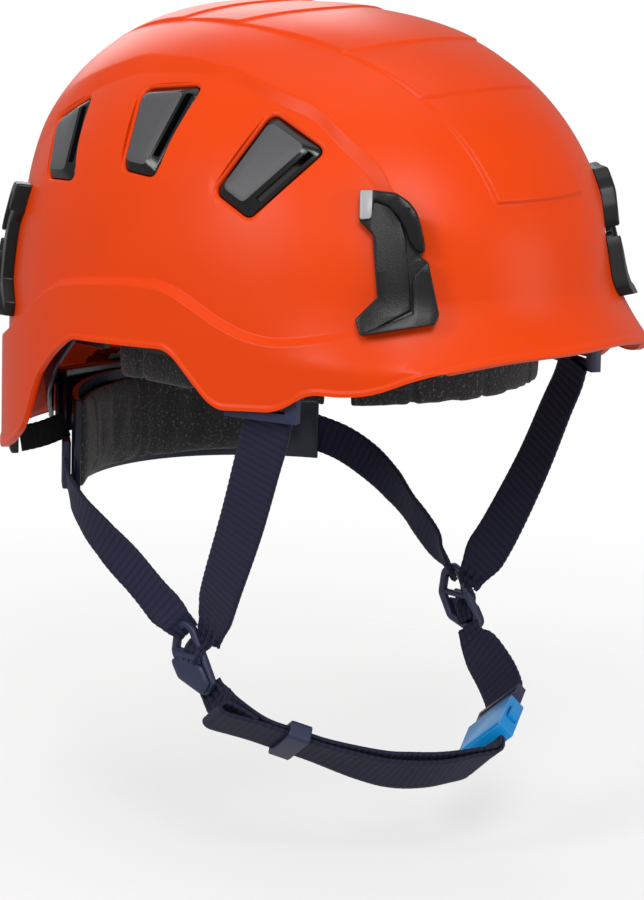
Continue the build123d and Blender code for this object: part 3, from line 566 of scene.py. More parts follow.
def at_length(s):
    """Plan scale and height at a length along the meridian; below the base the wall is upright."""
    if s <= 0:
        return 1.0, BASE_Z + s
    low, high = 0, len(meridian) - 1
    while high - low > 1:
        middle = (low + high) // 2
        if meridian[middle][0] > s:
            high = middle
        else:
            low = middle
    (s0, f0, z0), (s1, f1, z1) = meridian[low], meridian[high]
    t = (s - s0) / (s1 - s0)
    return f0 + (f1 - f0) * t, z0 + (z1 - z0) * t


def length_at(z):
    """The meridian length of a height."""
    if z <= BASE_Z:
        return z - BASE_Z
    for (s0, _, z0), (s1, _, z1) in zip(meridian, meridian[1:]):
        if z <= z1:
            return s0 + (s1 - s0) * (z - z0) / max(1e-9, z1 - z0)
    return walked


print("from the base to half height:", round(length_at(BASE_Z + RISE / 2)), "mm")

# %% [markdown]
# Below a ledge line the shell steps out into a skirt, and in front it flares into a brim. Both are
# offsets outwards from the plain dome. The step is a straight slope with short rounded ends, because
# its two edges are crisp on the moulding and each catches its own line of light. The rim is found
# by stepping along a column until its height is the rim line's.

# %% Skirt, brim and rim
SKIRT_OFFSET, LEDGE_RAMP = 2.8, 1.6
FLARE, FLARE_TOP_Z, FLARE_LOW_Z, FLARE_POWER = 11.0, 34.0, 9.0, 1.6
BRIM_ANGLES = (34, 64)
LEDGE_SOFT, RIM_SOFT = 6, 4
RIM_ROUNDS, RIM_STRIDE = 12, 0.7
RIM_LINE = [(-190, 13), (-152, 13), (-133, 7), (-120, 0), (-110, -2), (-96, -2), (-84, -10.5),
            (-58, -12.5), (-37, 8), (18, 4.5), (31, -4.5), (45, -18), (48, -27), (56, -39), (70, -48),
            (86, -54), (160, -54)]
LEDGE_LINE = [(-190, 52), (-150, 46), (-135, 35), (-122, 27.5), (-108, 22), (-94, 18), (-82, 15.5),
              (-72, 15.5), (-60, 19), (-40, 29), (-31, 32), (-15, 31.5), (8, 28.5), (30, 24.5),
              (50, 13), (72, 0), (90, -8), (160, -16)]


def ledge_z(y):
    """Height of the skirt's upper edge at y."""
    return softened(LEDGE_LINE, y, LEDGE_SOFT)


def ramp(value, low, high, ease=0.16):
    """A straight slope from 0 to 1 with short rounded ends, so that both its edges catch the light."""
    t = max(0.0, min(1.0, (value - low) / (high - low)))
    if t < ease:
        return t * t / (2 * ease * (1 - ease))
    if t > 1 - ease:
        return 1 - (1 - t) ** 2 / (2 * ease * (1 - ease))
    return (t - ease / 2) / (1 - ease)


def dome_point(angle, s):
    """A point of the shell's outer face, with its skirt and flared brim."""
    factor, z = at_length(s)
    length = FRONT if math.cos(angle) > 0 else REAR
    x, y = -HALF_WIDTH * math.sin(angle), -length * math.cos(angle)
    fall = max(0.0, min(1.0, (FLARE_TOP_Z - z) / (FLARE_TOP_Z - FLARE_LOW_Z)))
    front = 1 - smooth_step(math.degrees(math.acos(math.cos(angle))), *BRIM_ANGLES)
    below = ramp(ledge_z(y * factor) - z, -LEDGE_RAMP, LEDGE_RAMP)
    grow = (1 - front) * SKIRT_OFFSET * below + front * FLARE * fall ** FLARE_POWER
    plan = Vector((x / HALF_WIDTH ** 2, y / length ** 2, 0)).normalized()
    return Vector((x * factor, y * factor, z)) + plan * grow


def rim_length(angle):
    """The meridian length at which the rim cuts a column."""
    z = 0.0
    for _ in range(RIM_ROUNDS):
        z = z + RIM_STRIDE * (softened(RIM_LINE, dome_point(angle, length_at(z)).y, RIM_SOFT) - z)
    return length_at(z)


print("rim in front at", round(at_length(rim_length(0))[1], 1), "mm, behind at",
      round(at_length(rim_length(math.pi))[1], 1), "mm")

# %% [markdown]
# The crown is stepped: it stands proud of the vented sides along a crisp crease, a middle panel stands
# a little higher, and that panel is split crosswise into plates, each stepping down to the next
# towards the brow. They could be drawn by edge loops, but they are low relief, so they are heights
# added along the dome's normal, and every line of them can be moved without touching the grid.

# %% Relief of the crown
CREASE_LOW = [(-147, 20), (-125, 45), (-112, 62), (-98, 79), (-73, 97), (-32, 108), (-11, 110),
              (19, 107), (41, 99), (60, 88), (80, 70), (131, 10)]
CREASE_HIGH = [(-147, 50), (-125, 60), (-110, 68), (-102, 82), (-70, 102), (-30, 112), (-5, 114),
               (22, 113), (72.5, 95), (90, 82), (131, 40)]
CREASE_STEP, CREASE_SINK = 2.2, 1.6
SHOULDER = [(-140, 21), (-131, 23), (-92, 31), (-57, 37), (-22, 40), (17, 40), (51, 38), (110, 30)]
PANEL_RAISE = 0.7
PLATE_EDGES = [-103, -70, -16, 17]
PLATE_BOW, PLATE_STEP = 9.0, 0.8
PLATE_REACH, PLATE_EDGE, PLATE_HALF = (-140, 90), 0.5, 36
PANEL_FOOT_Z, PANEL_FOOT_EDGE, PANEL_SIDE_EDGE = 68.5, 0.7, 0.9
PANEL_END = (40, 85)
SINK_LOW, SINK_HIGH = 34, 4
CREASE_SOFT, SHOULDER_SOFT = 5, 6
RIM_BEAD, RIM_BEAD_WIDE = 0.55, 2.6


def panel_mask(x, y, z):
    """1 on the middle panel and 0 outside it."""
    side = 1 - smooth_step(abs(x) - softened(SHOULDER, y, SHOULDER_SOFT), -PANEL_SIDE_EDGE, PANEL_SIDE_EDGE)
    foot = smooth_step(z, PANEL_FOOT_Z - PANEL_FOOT_EDGE, PANEL_FOOT_Z + PANEL_FOOT_EDGE) if y < 0 else 1.0
    return side * foot * (1 - smooth_step(y, *PANEL_END))


def plate_height(x, y):
    """The plates rise from their rear edge to their front edge, then step down."""
    bow = PLATE_BOW * (x / PLATE_HALF) ** 2
    edges = [edge + bow for edge in PLATE_EDGES]
    total = 0.0
    for front_edge, rear_edge in zip([PLATE_REACH[0]] + edges, edges + [PLATE_REACH[1]]):
        run = (rear_edge - y) / (rear_edge - front_edge)
        inside = smooth_step(y, front_edge - PLATE_EDGE, front_edge + PLATE_EDGE)
        inside *= 1 - smooth_step(y, rear_edge - PLATE_EDGE, rear_edge + PLATE_EDGE)
        total += PLATE_STEP * max(0.0, min(1.0, run)) * inside
    return total


def relief(p, from_rim):
    """Height of all the crown's steps and the rim's bead at a point."""
    low, high = softened(CREASE_LOW, p.y, CREASE_SOFT), softened(CREASE_HIGH, p.y, CREASE_SOFT)
    step = CREASE_STEP * ramp(p.z, low, high)
    step -= CREASE_SINK * smooth_step(p.z, low - SINK_LOW, low - SINK_HIGH)
    panel = panel_mask(p.x, p.y, p.z)
    bead = RIM_BEAD * (1 - smooth_step(from_rim, 0.5 * RIM_BEAD_WIDE, RIM_BEAD_WIDE))
    return step + panel * (PANEL_RAISE + plate_height(p.x, p.y)) + bead


print("relief on top of the crown", round(relief(Vector((0, 0, BASE_Z + RISE)), 200), 2), "mm")

# %% [markdown]
# A step three millimetres wide needs faces well under a millimetre, but the plain wall does not. So the
# grid starts coarse, and only faces near a line of the relief are split, three times, each time
# within a shorter reach. The last row closes the crown, and is left as it is.

# %% Where the relief's lines are
CREASE_SPAN, PANEL_HALF, PANEL_MARGIN, RIM_BAND = (-118, 75), 45, 4, 2
FOOT_Y = -100


def detail_gap(p, from_rim):
    """Rough distance to the nearest line of the relief, to choose where the grid is finer."""
    low, high = softened(CREASE_LOW, p.y, CREASE_SOFT), softened(CREASE_HIGH, p.y, CREASE_SOFT)
    gaps = [from_rim - RIM_BAND, abs(abs(p.z - ledge_z(p.y)) - LEDGE_RAMP)]
    if CREASE_SPAN[0] < p.y < CREASE_SPAN[1]:
        gaps += [abs(p.z - low), abs(p.z - high)]
    if p.y < CREASE_SPAN[1] and p.z > PANEL_FOOT_Z - PANEL_MARGIN and abs(p.x) < PANEL_HALF:
        shoulder = softened(SHOULDER, p.y, SHOULDER_SOFT)
        gaps.append(abs(abs(p.x) - shoulder))
        if abs(p.x) < shoulder + 2:
            gaps += [abs(p.y - edge - PLATE_BOW * (p.x / PLATE_HALF) ** 2) for edge in PLATE_EDGES]
            if p.y < FOOT_Y:
                gaps.append(abs(p.z - PANEL_FOOT_Z))
    return min(gaps)


crown = Vector((0, 0, BASE_Z + RISE))
print("from the crown's top to the nearest line", round(detail_gap(crown, 200), 1), "mm")

# %% [markdown]
# Now the flat grid becomes the outer skin. Its columns are turned round the helmet, its rows run from
# the rim to the crown, and each point is pushed out by the relief. The seam in front is welded. The
# skin is also kept as a search tree, so that vents and clips can be laid on it later.

# %% Wrap the grid on the dome
COLUMNS, ROWS = 232, 74
DETAIL_REACH = (3.4, 1.5, 0.7)
RIM_SAMPLES = 720
CROWN_ROW = 0.49
bm = bmesh.new()
bmesh.ops.create_grid(bm, x_segments=COLUMNS, y_segments=ROWS, size=0.5)
rims = [rim_length(2 * math.pi * i / RIM_SAMPLES) for i in range(RIM_SAMPLES + 1)]


def wrapped(u, v):
    """The shell's point for a place on the flat grid, and its distance from the rim."""
    turn = u + 0.5
    at = turn * RIM_SAMPLES
    low = min(RIM_SAMPLES - 1, int(at))
    start = rims[low] + (rims[low + 1] - rims[low]) * (at - low)
    from_rim = (v + 0.5) * (walked - start)
    return dome_point(2 * math.pi * turn, start + from_rim), from_rim


for reach in DETAIL_REACH:
    fine_edges = set()
    for face in bm.faces:
        centre = face.calc_center_median()
        if centre.y < CROWN_ROW and detail_gap(*wrapped(centre.x, centre.y)) < reach:
            fine_edges.update(face.edges)
    bmesh.ops.subdivide_edges(bm, edges=list(fine_edges), cuts=1, use_grid_fill=True)
for vert in bm.verts:
    point, from_rim = wrapped(vert.co.x, vert.co.y)
    vert.co = point + wall_normal(*point) * relief(point, from_rim)
bmesh.ops.remove_doubles(bm, verts=bm.verts, dist=0.02)
bmesh.ops.recalc_face_normals(bm, faces=bm.faces)
top_face = max(bm.faces, key=lambda face: face.calc_center_median().z)
if top_face.normal.z < 0:
    bmesh.ops.reverse_faces(bm, faces=bm.faces)
outer_skin = BVHTree.FromBMesh(bm)
print("outer skin", len(bm.faces), "faces")

# %% [markdown]
# The moulding is a thin wall of even thickness. A second skin could be drawn inside, but a Solidify
# modifier does the same with one number. It grows inwards, so that the outer face stays where it is.

# %% Give it a wall
WALL, SMOOTH_UNDER = 2.6, 50
shell = piece("helmet_shell", bm, "helmet", [shell_orange], ["shell"], smooth=SMOOTH_UNDER)
thickness = shell.modifiers.new("wall", "SOLIDIFY")
thickness.thickness = WALL * MM
thickness.offset = -1
thickness.use_even_offset = False
apply_modifiers(shell)
print("shell", len(shell.data.polygons), "faces with its wall")

# %% [markdown]
# Vents and clips are flat things on a curved wall. Drawing them in space would mean guessing three
# numbers for each corner. Here they are drawn flat, on a plane square to the wall, and each point
# is then dropped on the outer skin along the plane's normal, so they follow every curve of it.

# %% A drawing plane on the wall
PLANE_AWAY = 30


class WallPatch:
    """A flat drawing plane square to the right hand wall; x runs as given, z points out."""

    def __init__(self, centre, forward=None):
        self.origin = Vector(centre)
        self.out = wall_normal(*centre)
        along = Vector((0, 1, 0)) if forward is None else Vector(forward)
        self.across = (along - self.out * along.dot(self.out)).normalized()
        self.up = self.out.cross(self.across)

    def flat(self, point):
        """Flat coordinates of a point in space."""
        gap = Vector(point) - self.origin
        return Vector((gap.dot(self.across), gap.dot(self.up)))

    def on_wall(self, h, v, height=0.0):
        """The point of the outer skin over (h, v), raised by a height."""
        start = self.origin + self.across * h + self.up * v + self.out * PLANE_AWAY
        hit = outer_skin.ray_cast(start, -self.out)[0]
        return (hit or start - self.out * PLANE_AWAY) + self.out * height


side_spot = (-wall_x(0, 0), 0, 0)
print("the wall faces", tuple(round(c, 2) for c in WallPatch(side_spot).out), "at its side")

# %% [markdown]
# Most moulded outlines are a few straight sides with rounded corners. Each side is moved inwards by
# its own amount, since a vent's chamfers are not equally wide, and the corners are rounded last, so
# that they stay round however the sides were moved.

# %% Outlines with rounded corners
def inset_corners(corners, insets):
    """Move each side of a polygon inwards by its own amount; sides run from each corner to the next."""
    count = len(corners)
    middle = sum(corners, Vector((0, 0))) / count
    lines = []
    for i in range(count):
        a, b = corners[i], corners[(i + 1) % count]
        side = (b - a).normalized()
        normal = Vector((-side.y, side.x))
        if normal.dot(middle - a) < 0:
            normal = -normal
        lines.append((a + normal * insets[i], side))
    moved = []
    for i in range(count):
        (p, d), (q, e) = lines[i - 1], lines[i]
        cross = d.x * e.y - d.y * e.x
        t = ((q - p).x * e.y - (q - p).y * e.x) / cross
        moved.append(p + d * t)
    return moved


def round_corners(corners, radius, steps=5):
    """Replace each corner by an arc of a radius, or less where its sides are short."""
    count = len(corners)
    points = []
    for i in range(count):
        before, here, after = corners[i - 1], corners[i], corners[(i + 1) % count]
        to_before, to_after = (before - here).normalized(), (after - here).normalized()
        half = to_before.angle(to_after) / 2
        reach = min(radius / math.tan(half), 0.45 * (before - here).length, 0.45 * (after - here).length)
        start, end = here + to_before * reach, here + to_after * reach
        for step in range(steps + 1):
            t = step / steps
            points.append(start * (1 - t) ** 2 + here * 2 * t * (1 - t) + end * t ** 2)
    return points


def box_corners(half_wide, half_high):
    """The four corners of a rectangle round the middle of its drawing."""
    return [Vector((h * half_wide, v * half_high)) for h, v in ((-1, -1), (1, -1), (1, 1), (-1, 1))]


print("points of a rounded box", len(round_corners(box_corners(10, 5), 2)))

# %% [markdown]
# A moulded block is then a stack of such outlines, joined ring to ring. Bridging gives clean rows of
# four-sided faces along the chamfers, which a Boolean would not. Booleans are kept for what is
# really cut out of something: the vent openings and the air slots.

# %% Lofting, mirroring and cutting
def loft_rings(bm, rings, material_of=None, close=True):
    """Join closed rings of points, in order, with bridged faces, and cap both ends."""
    loops = []
    for ring in rings:
        verts = [bm.verts.new(point) for point in ring]
        loops.append([bm.edges.new((verts[i - 1], verts[i])) for i in range(len(verts))])
    for i, (low, high) in enumerate(zip(loops, loops[1:])):
        bridged = bmesh.ops.bridge_loops(bm, edges=low + high)
        for face in bridged["faces"]:
            face.material_index = material_of[i] if material_of else 0
    if close:
        for i, loop in ((0, loops[0]), (-1, loops[-1])):
            cap = bmesh.ops.contextual_create(bm, geom=loop)
            for face in cap["faces"]:
                face.material_index = material_of[i] if material_of else 0
    bmesh.ops.recalc_face_normals(bm, faces=bm.faces)


def both_sides(bm):
    """Add the mirror image across the helmet's middle."""
    twin = bmesh.ops.duplicate(bm, geom=bm.verts[:] + bm.edges[:] + bm.faces[:])
    verts = [item for item in twin["geom"] if isinstance(item, bmesh.types.BMVert)]
    faces = [item for item in twin["geom"] if isinstance(item, bmesh.types.BMFace)]
    bmesh.ops.scale(bm, verts=verts, vec=(-1, 1, 1))
    bmesh.ops.reverse_faces(bm, faces=faces)


def flipped(bm):
    """Turn the whole bmesh into its mirror image."""
    bmesh.ops.scale(bm, verts=bm.verts, vec=(-1, 1, 1))
    bmesh.ops.reverse_faces(bm, faces=bm.faces)


def cut(made, tool_mesh):
    """Take a closed bmesh, drawn in millimetres, away from a finished piece."""
    bmesh.ops.scale(tool_mesh, verts=tool_mesh.verts, vec=(MM, MM, MM))
    data = bpy.data.meshes.new("cutter")
    tool_mesh.to_mesh(data)
    tool_mesh.free()
    tool = bpy.data.objects.new("cutter", data)
    bpy.context.scene.collection.objects.link(tool)
    saw = made.modifiers.new("saw", "BOOLEAN")
    saw.operation = "DIFFERENCE"
    saw.solver = "EXACT"
    saw.object = tool
    apply_modifiers(made)
    bpy.data.objects.remove(tool)
    bpy.data.meshes.remove(data)


probe = bmesh.new()
loft_rings(probe, [[(0, 0, z), (1, 0, z), (0, 1, z)] for z in (0, 1)])
print("a lofted prism has", len(probe.faces), "faces")
probe.free()

# %% [markdown]
# The vents are four-sided openings with rounded corners, three on each side. Each is cut with a
# cutter that widens towards the surface, which leaves the moulded shell's soft lip round the hole.
# The left side is the right one's mirror image.

# %% Cut the vent openings
VENTS = {
    "front": [(-55, 99), (-81, 87), (-63, 60), (-46, 68.5)],
    "middle": [(11, 102), (-18, 106), (-16, 71), (1, 72)],
    "rear": [(46, 95), (70, 83), (53, 62), (31, 64)],
}
VENT_RADIUS = 4.0
LIP = [(5.0, 1.5), (0.06, 1.5), (-0.25, 0.85), (-0.65, 0.38), (-1.2, 0.08), (-1.8, 0.0), (-9.0, 0.0)]


def vent_patch(place):
    """The drawing plane and flat corners of a vent."""
    corners = [Vector((-wall_x(y, z), y, z)) for y, z in VENTS[place]]
    patch = WallPatch(sum(corners, Vector()) / 4)
    return patch, [patch.flat(corner) for corner in corners]


def vent_ring(patch, corners, insets, height, radius=VENT_RADIUS):
    """A closed ring on the wall, its sides moved in by their insets."""
    outline = round_corners(inset_corners(corners, insets), radius)
    return [patch.on_wall(point.x, point.y, height) for point in outline]


cutters = bmesh.new()
for place in VENTS:
    patch, corners = vent_patch(place)
    loft_rings(cutters, [vent_ring(patch, corners, [-grow] * 4, height) for height, grow in LIP])
both_sides(cutters)
cut(shell, cutters)
shell.data.set_sharp_from_angle(angle=math.radians(SMOOTH_UNDER))
print("shell with its vents", len(shell.data.polygons), "faces")

# %% [markdown]
# A vent insert is a black plastic keycap: a matt, finely textured plate with wide glossy chamfers
# down to the shell. Beside the plate a slot runs right through, and that is where the air goes. The
# cap is one loft of rings, and the innermost of them take the matt finish. A foot behind the shell's
# edge holds it in its hole. The slots are cut last, straight through chamfer and foot.

# %% Vent inserts
CHAMFERS = {"front": (3.4, 6.2, 3.4, 2.4), "middle": (3.2, 5.4, 3.4, 1.6), "rear": (3.2, 1.6, 3.4, 5.4)}
AIR_SLOTS = {"front": ((1, 2.0, 4.4), (3, 0.7, 1.9)), "middle": ((1, 1.8, 4.4),), "rear": ((3, 1.8, 4.4),)}
SLOT_SPAN = (0.20, 0.90)
SLOT_DEPTH, SLOT_RADIUS = (-12.0, 6.0), 0.6
INSERT_GAP, FOOT_OUT, CAP_SHARP = 0.3, 2.2, 24
BODY_RINGS = [(-FOOT_OUT, -4.4), (-FOOT_OUT, -3.1), (INSERT_GAP, -3.0), (INSERT_GAP, -1.3),
              (INSERT_GAP + 0.35, -0.9)]
CAP_RINGS = [(-0.5, 0.15, 3.0), (0.0, 0.45, 3.0), (0.7, 0.6, 2.8), (3.5, 0.75, 1.2)]
RING_FINISH = [0, 0, 0, 0, 0, 0, 1, 1]


def slot_box(bm, patch, corners, side, near, far):
    """A cutter for an air slot that runs beside one edge of the opening."""
    a, b = corners[side], corners[(side + 1) % 4]
    inner = inset_corners(corners, [far if i == side else 0 for i in range(4)])
    outer = inset_corners(corners, [near if i == side else 0 for i in range(4)])
    low, high = SLOT_SPAN if (b - a).y < 0 else (1 - SLOT_SPAN[1], 1 - SLOT_SPAN[0])
    loop = [outer[side].lerp(outer[(side + 1) % 4], low), outer[side].lerp(outer[(side + 1) % 4], high),
            inner[side].lerp(inner[(side + 1) % 4], high), inner[side].lerp(inner[(side + 1) % 4], low)]
    loop = round_corners(loop, SLOT_RADIUS, 3)
    loft_rings(bm, [[patch.on_wall(p.x, p.y, height) for p in loop] for height in SLOT_DEPTH])


for place in VENTS:
    for hand, mirror in HANDS:
        patch, corners = vent_patch(place)
        rings = [vent_ring(patch, corners, [inset] * 4, height) for inset, height in BODY_RINGS]
        for wider, height, radius in CAP_RINGS:
            insets = [chamfer + wider for chamfer in CHAMFERS[place]]
            rings.append(vent_ring(patch, corners, insets, height, radius))
        bm = bmesh.new()
        loft_rings(bm, rings, RING_FINISH)
        slots = bmesh.new()
        for side, near, far in AIR_SLOTS[place]:
            slot_box(slots, patch, corners, side, near, far)
        if mirror:
            flipped(bm)
            flipped(slots)
        node = f"vent_insert_{place}_{hand}"
        made = piece(f"vent_{place}_{hand}", bm, "helmet", [vent_gloss_black, vent_plate_black], [node],
                     smooth=CAP_SHARP)
        cut(made, slots)
        made.data.set_sharp_from_angle(angle=math.radians(CAP_SHARP))

# %% [markdown]
# The headlamp clips are thick black brackets. Each is four slabs of different height: the base on
# the wall, the strip the lamp's strap lies behind, and a raised guard and foot at its ends. They
# could be one sculpted block, but four plain outlines give the crisp steps that a moulding has.

# %% The clip's outlines
CLIP_BASE = [(-14.5, 15.5), (-14.5, 26), (-1, 25), (5.5, 19.6), (9.4, 6), (8.2, 2), (10.6, 0.6),
             (15.4, -19.5), (14, -22), (-13.6, -27.4), (-15.2, -22), (-7.2, -13.5), (-9.6, 10)]
CLIP_STRIP = [(-15, 15), (-15, 26.2), (-9.8, 26), (-7, 24), (-2.6, 19.4), (0.8, 14), (2.6, 9),
              (3.4, 0), (4.8, -12), (5.4, -18), (-12, -27.6), (-13.6, -27.9), (-15.6, -22),
              (-7.5, -13.5), (-10, 10)]
CLIP_GUARD = [(-15, 15.2), (-15.2, 26.5), (-9.8, 26.6), (-1.6, 25.6), (3.4, 22.4), (6.4, 18.6),
              (8.6, 12), (10, 5), (9.2, 3.4), (6.6, 4.2), (4.2, 7.2), (2.2, 12), (-0.4, 16.6),
              (-4.4, 20.6), (-9.6, 22.6), (-10.6, 15.6)]
CLIP_FOOT = [(11.2, 0.2), (9.4, -1.2), (6.4, -4.6), (5.6, -8), (6.0, -19.4), (-12.8, -27.2),
             (-12.4, -28), (14.2, -23.2), (15.8, -19.4)]
CLIP_SLABS = {"base": (CLIP_BASE, 3.0, 0.5), "strip": (CLIP_STRIP, 4.4, 0.5),
              "guard": (CLIP_GUARD, 6.2, 0.9), "foot": (CLIP_FOOT, 5.8, 0.9)}
print("slabs and their heights", {part: height for part, (_, height, _) in CLIP_SLABS.items()})

# %% [markdown]
# A slab is bevelled while it is flat, where a bevel is even all round. Then it is cut into a grid,
# because a large flat face cannot bend, and only the grid's points can follow the wall.

# %% Slabs that can bend
GRID_NUDGE = 0.013
TOUCH = 1e-6


def slab(bm, outline, low, high, bevel):
    """A flat slab with its top and upright edges bevelled."""
    verts = [bm.verts.new((h, v, low)) for h, v in outline]
    base = bm.faces.new(verts)
    grown = bmesh.ops.extrude_face_region(bm, geom=[base])
    top = [item for item in grown["geom"] if isinstance(item, bmesh.types.BMVert)]
    bmesh.ops.translate(bm, verts=top, vec=(0, 0, high - low))
    bmesh.ops.recalc_face_normals(bm, faces=list({base, *(f for v in top for f in v.link_faces)}))
    near_top = [edge for v in top for edge in v.link_edges]
    top_edges = {edge for edge in near_top if all(abs(w.co.z - high) < TOUCH for w in edge.verts)}
    walls = {edge for edge in near_top if abs(edge.verts[0].co.z - edge.verts[1].co.z) > TOUCH}
    bmesh.ops.bevel(bm, geom=list(top_edges | walls), offset=bevel, segments=3, profile=0.5, affect="EDGES",
                    material=-1, offset_type="OFFSET", clamp_overlap=True)


def sliced(bm, spot, axis):
    """Cut all faces of a bmesh along a plane through a spot."""
    everything = bm.verts[:] + bm.edges[:] + bm.faces[:]
    bmesh.ops.bisect_plane(bm, geom=everything, dist=1e-4, plane_co=spot, plane_no=axis)


def gridded(bm, step, span):
    """Cut a flat bmesh along a grid of upright planes."""
    count = int(span / step)
    for axis in ((1, 0, 0), (0, 1, 0)):
        for i in range(-count, count + 1):
            sliced(bm, Vector(axis) * (i * step + GRID_NUDGE), axis)


probe = bmesh.new()
slab(probe, CLIP_BASE, 0.0, 3.0, 0.5)
print("a flat slab", len(probe.faces), "faces")
probe.free()

# %% [markdown]
# Each clip is put together flat and dropped on the wall at its place. The rear clips face the other
# way round. The front clips' guards end in a light-grey tip, a second finish on the outward faces past
# a line that is cut across the guard: a painted highlight, the light that the black plastic's flat end
# reflects.

# %% Lamp clips
CLIP_END, CLIP_GRID, CLIP_SPAN, SEAT = -10.4, 4.0, 32, 0.35
UPWARD = 0.6
# A light-grey finish that paints the highlight which the black guard's flat end catches.
clip_tip_highlight = moulded("clip_tip_highlight", (0.42, 0.42, 0.43, 1), 2200, 0.3, 0.1, depth=0.0001)


def lamp_clip(name, centre_y, centre_z, flip, mirror):
    """One clip, drawn flat, then bent onto the wall at its place."""
    centre = (-wall_x(centre_y, centre_z), centre_y, centre_z)
    normal = wall_normal(*centre)
    patch = WallPatch(centre, (-normal.y, normal.x, 0))
    made = bmesh.new()
    for part, (outline, height, bevel) in CLIP_SLABS.items():
        bm = bmesh.new()
        slab(bm, outline, SEAT, height, bevel)
        sliced(bm, (CLIP_END, 0, 0), (1, 0, 0))
        gridded(bm, CLIP_GRID, CLIP_SPAN)
        for face in bm.faces:
            past_end = face.calc_center_median().x < CLIP_END
            # The outward faces of the front guards past the end line take the painted highlight.
            if flip > 0 and part == "guard" and past_end and face.normal.z > UPWARD:
                face.material_index = 1
        holder = bpy.data.meshes.new("slab")
        bm.to_mesh(holder)
        bm.free()
        made.from_mesh(holder)
        bpy.data.meshes.remove(holder)
    for vert in made.verts:
        vert.co = patch.on_wall(flip * vert.co.x, vert.co.y, vert.co.z)
    bmesh.ops.recalc_face_normals(made, faces=made.faces)
    if mirror:
        flipped(made)
    clip = piece(name, made, "helmet", [clip_black, clip_tip_highlight], [name], smooth=30)


for place, y, z, flip in (("front", -115.0, 48.0, 1), ("rear", 87.0, 30.0, -1)):
    for hand, mirror in HANDS:
        lamp_clip(f"lamp_clip_{place}_{hand}", y, z, flip, mirror)

# %% [markdown]
# A strap follows a smooth path and twists as it goes. Its path is given by a few stations, each with
# its centre and the direction of its width. A Bezier curve could carry a strap, but its twist is hard
# to hold, so a curve through the stations is walked in even steps, and each step keeps its own frame.

# %% Smooth paths
SAMPLES_PER_SPAN = 60


def smooth_path(stations, t):
    """Place on a smooth curve through stations of (centre, width direction), t from 0 to 1."""
    count = len(stations) - 1
    at = min(count - 1e-6, t * count)
    i = int(at)
    f = at - i
    result = []
    for part in (0, 1):
        p = [Vector(stations[max(0, min(count, i + k))][part]) for k in (-1, 0, 1, 2)]
        result.append(0.5 * (2 * p[1] + (p[2] - p[0]) * f + (2 * p[0] - 5 * p[1] + 4 * p[2] - p[3]) * f ** 2
                             + (3 * p[1] - p[0] - 3 * p[2] + p[3]) * f ** 3))
    return result


def path_frames(stations, step):
    """Evenly spaced frames (centre, across, out, length so far) along the path."""
    fine = SAMPLES_PER_SPAN * (len(stations) - 1)
    samples = [smooth_path(stations, i / fine) for i in range(fine + 1)]
    lengths = [0.0]
    for (a, _), (b, _) in zip(samples, samples[1:]):
        lengths.append(lengths[-1] + (b - a).length)
    rows = max(2, int(lengths[-1] / step))
    frames = []
    j = 0
    for i in range(rows + 1):
        want = lengths[-1] * i / rows
        while j < fine - 1 and lengths[j + 1] < want:
            j += 1
        f = (want - lengths[j]) / max(1e-9, lengths[j + 1] - lengths[j])
        centre = samples[j][0].lerp(samples[j + 1][0], f)
        ahead = (samples[min(fine, j + 2)][0] - samples[max(0, j - 1)][0]).normalized()
        across = samples[j][1].lerp(samples[j + 1][1], f)
        across = (across - ahead * across.dot(ahead)).normalized()
        frames.append((centre, across, ahead.cross(across), want))
    return frames


quarter = [((0, 0, 0), (0, 0, 1)), ((7, 3, 0), (0, 0, 1)), ((10, 10, 0), (0, 0, 1))]
print("a quarter turn of 10 mm is", round(path_frames(quarter, 1.0)[-1][3], 1), "mm long")

# %% [markdown]
# Webbing is a ribbon with cross ribs about three millimetres apart and a rolled edge. It is a grid laid
# along a smooth path, and the ribs are real waves in it, because they show on its outline. Where a
# strap is pulled through its ring it gathers: it gets narrower and folds. Cloth physics would fold it
# too, but less surely in the same place each time. A Solidify modifier gives it its thickness.

# %% Webbing
RIB_PITCH, RIB_HEIGHT, RIB_SHARP, RIB_END = 2.9, 0.34, 0.6, 0.86
STEP_ALONG, ACROSS = 0.48, 12
MEAN_RIDGE, EDGE_WAVE = 0.7, 0.22
GATHER_NARROW, GATHER_FOLD, GATHER_FLAT = 0.36, 0.9, 0.5
FOLD_DRIFT = 0.3


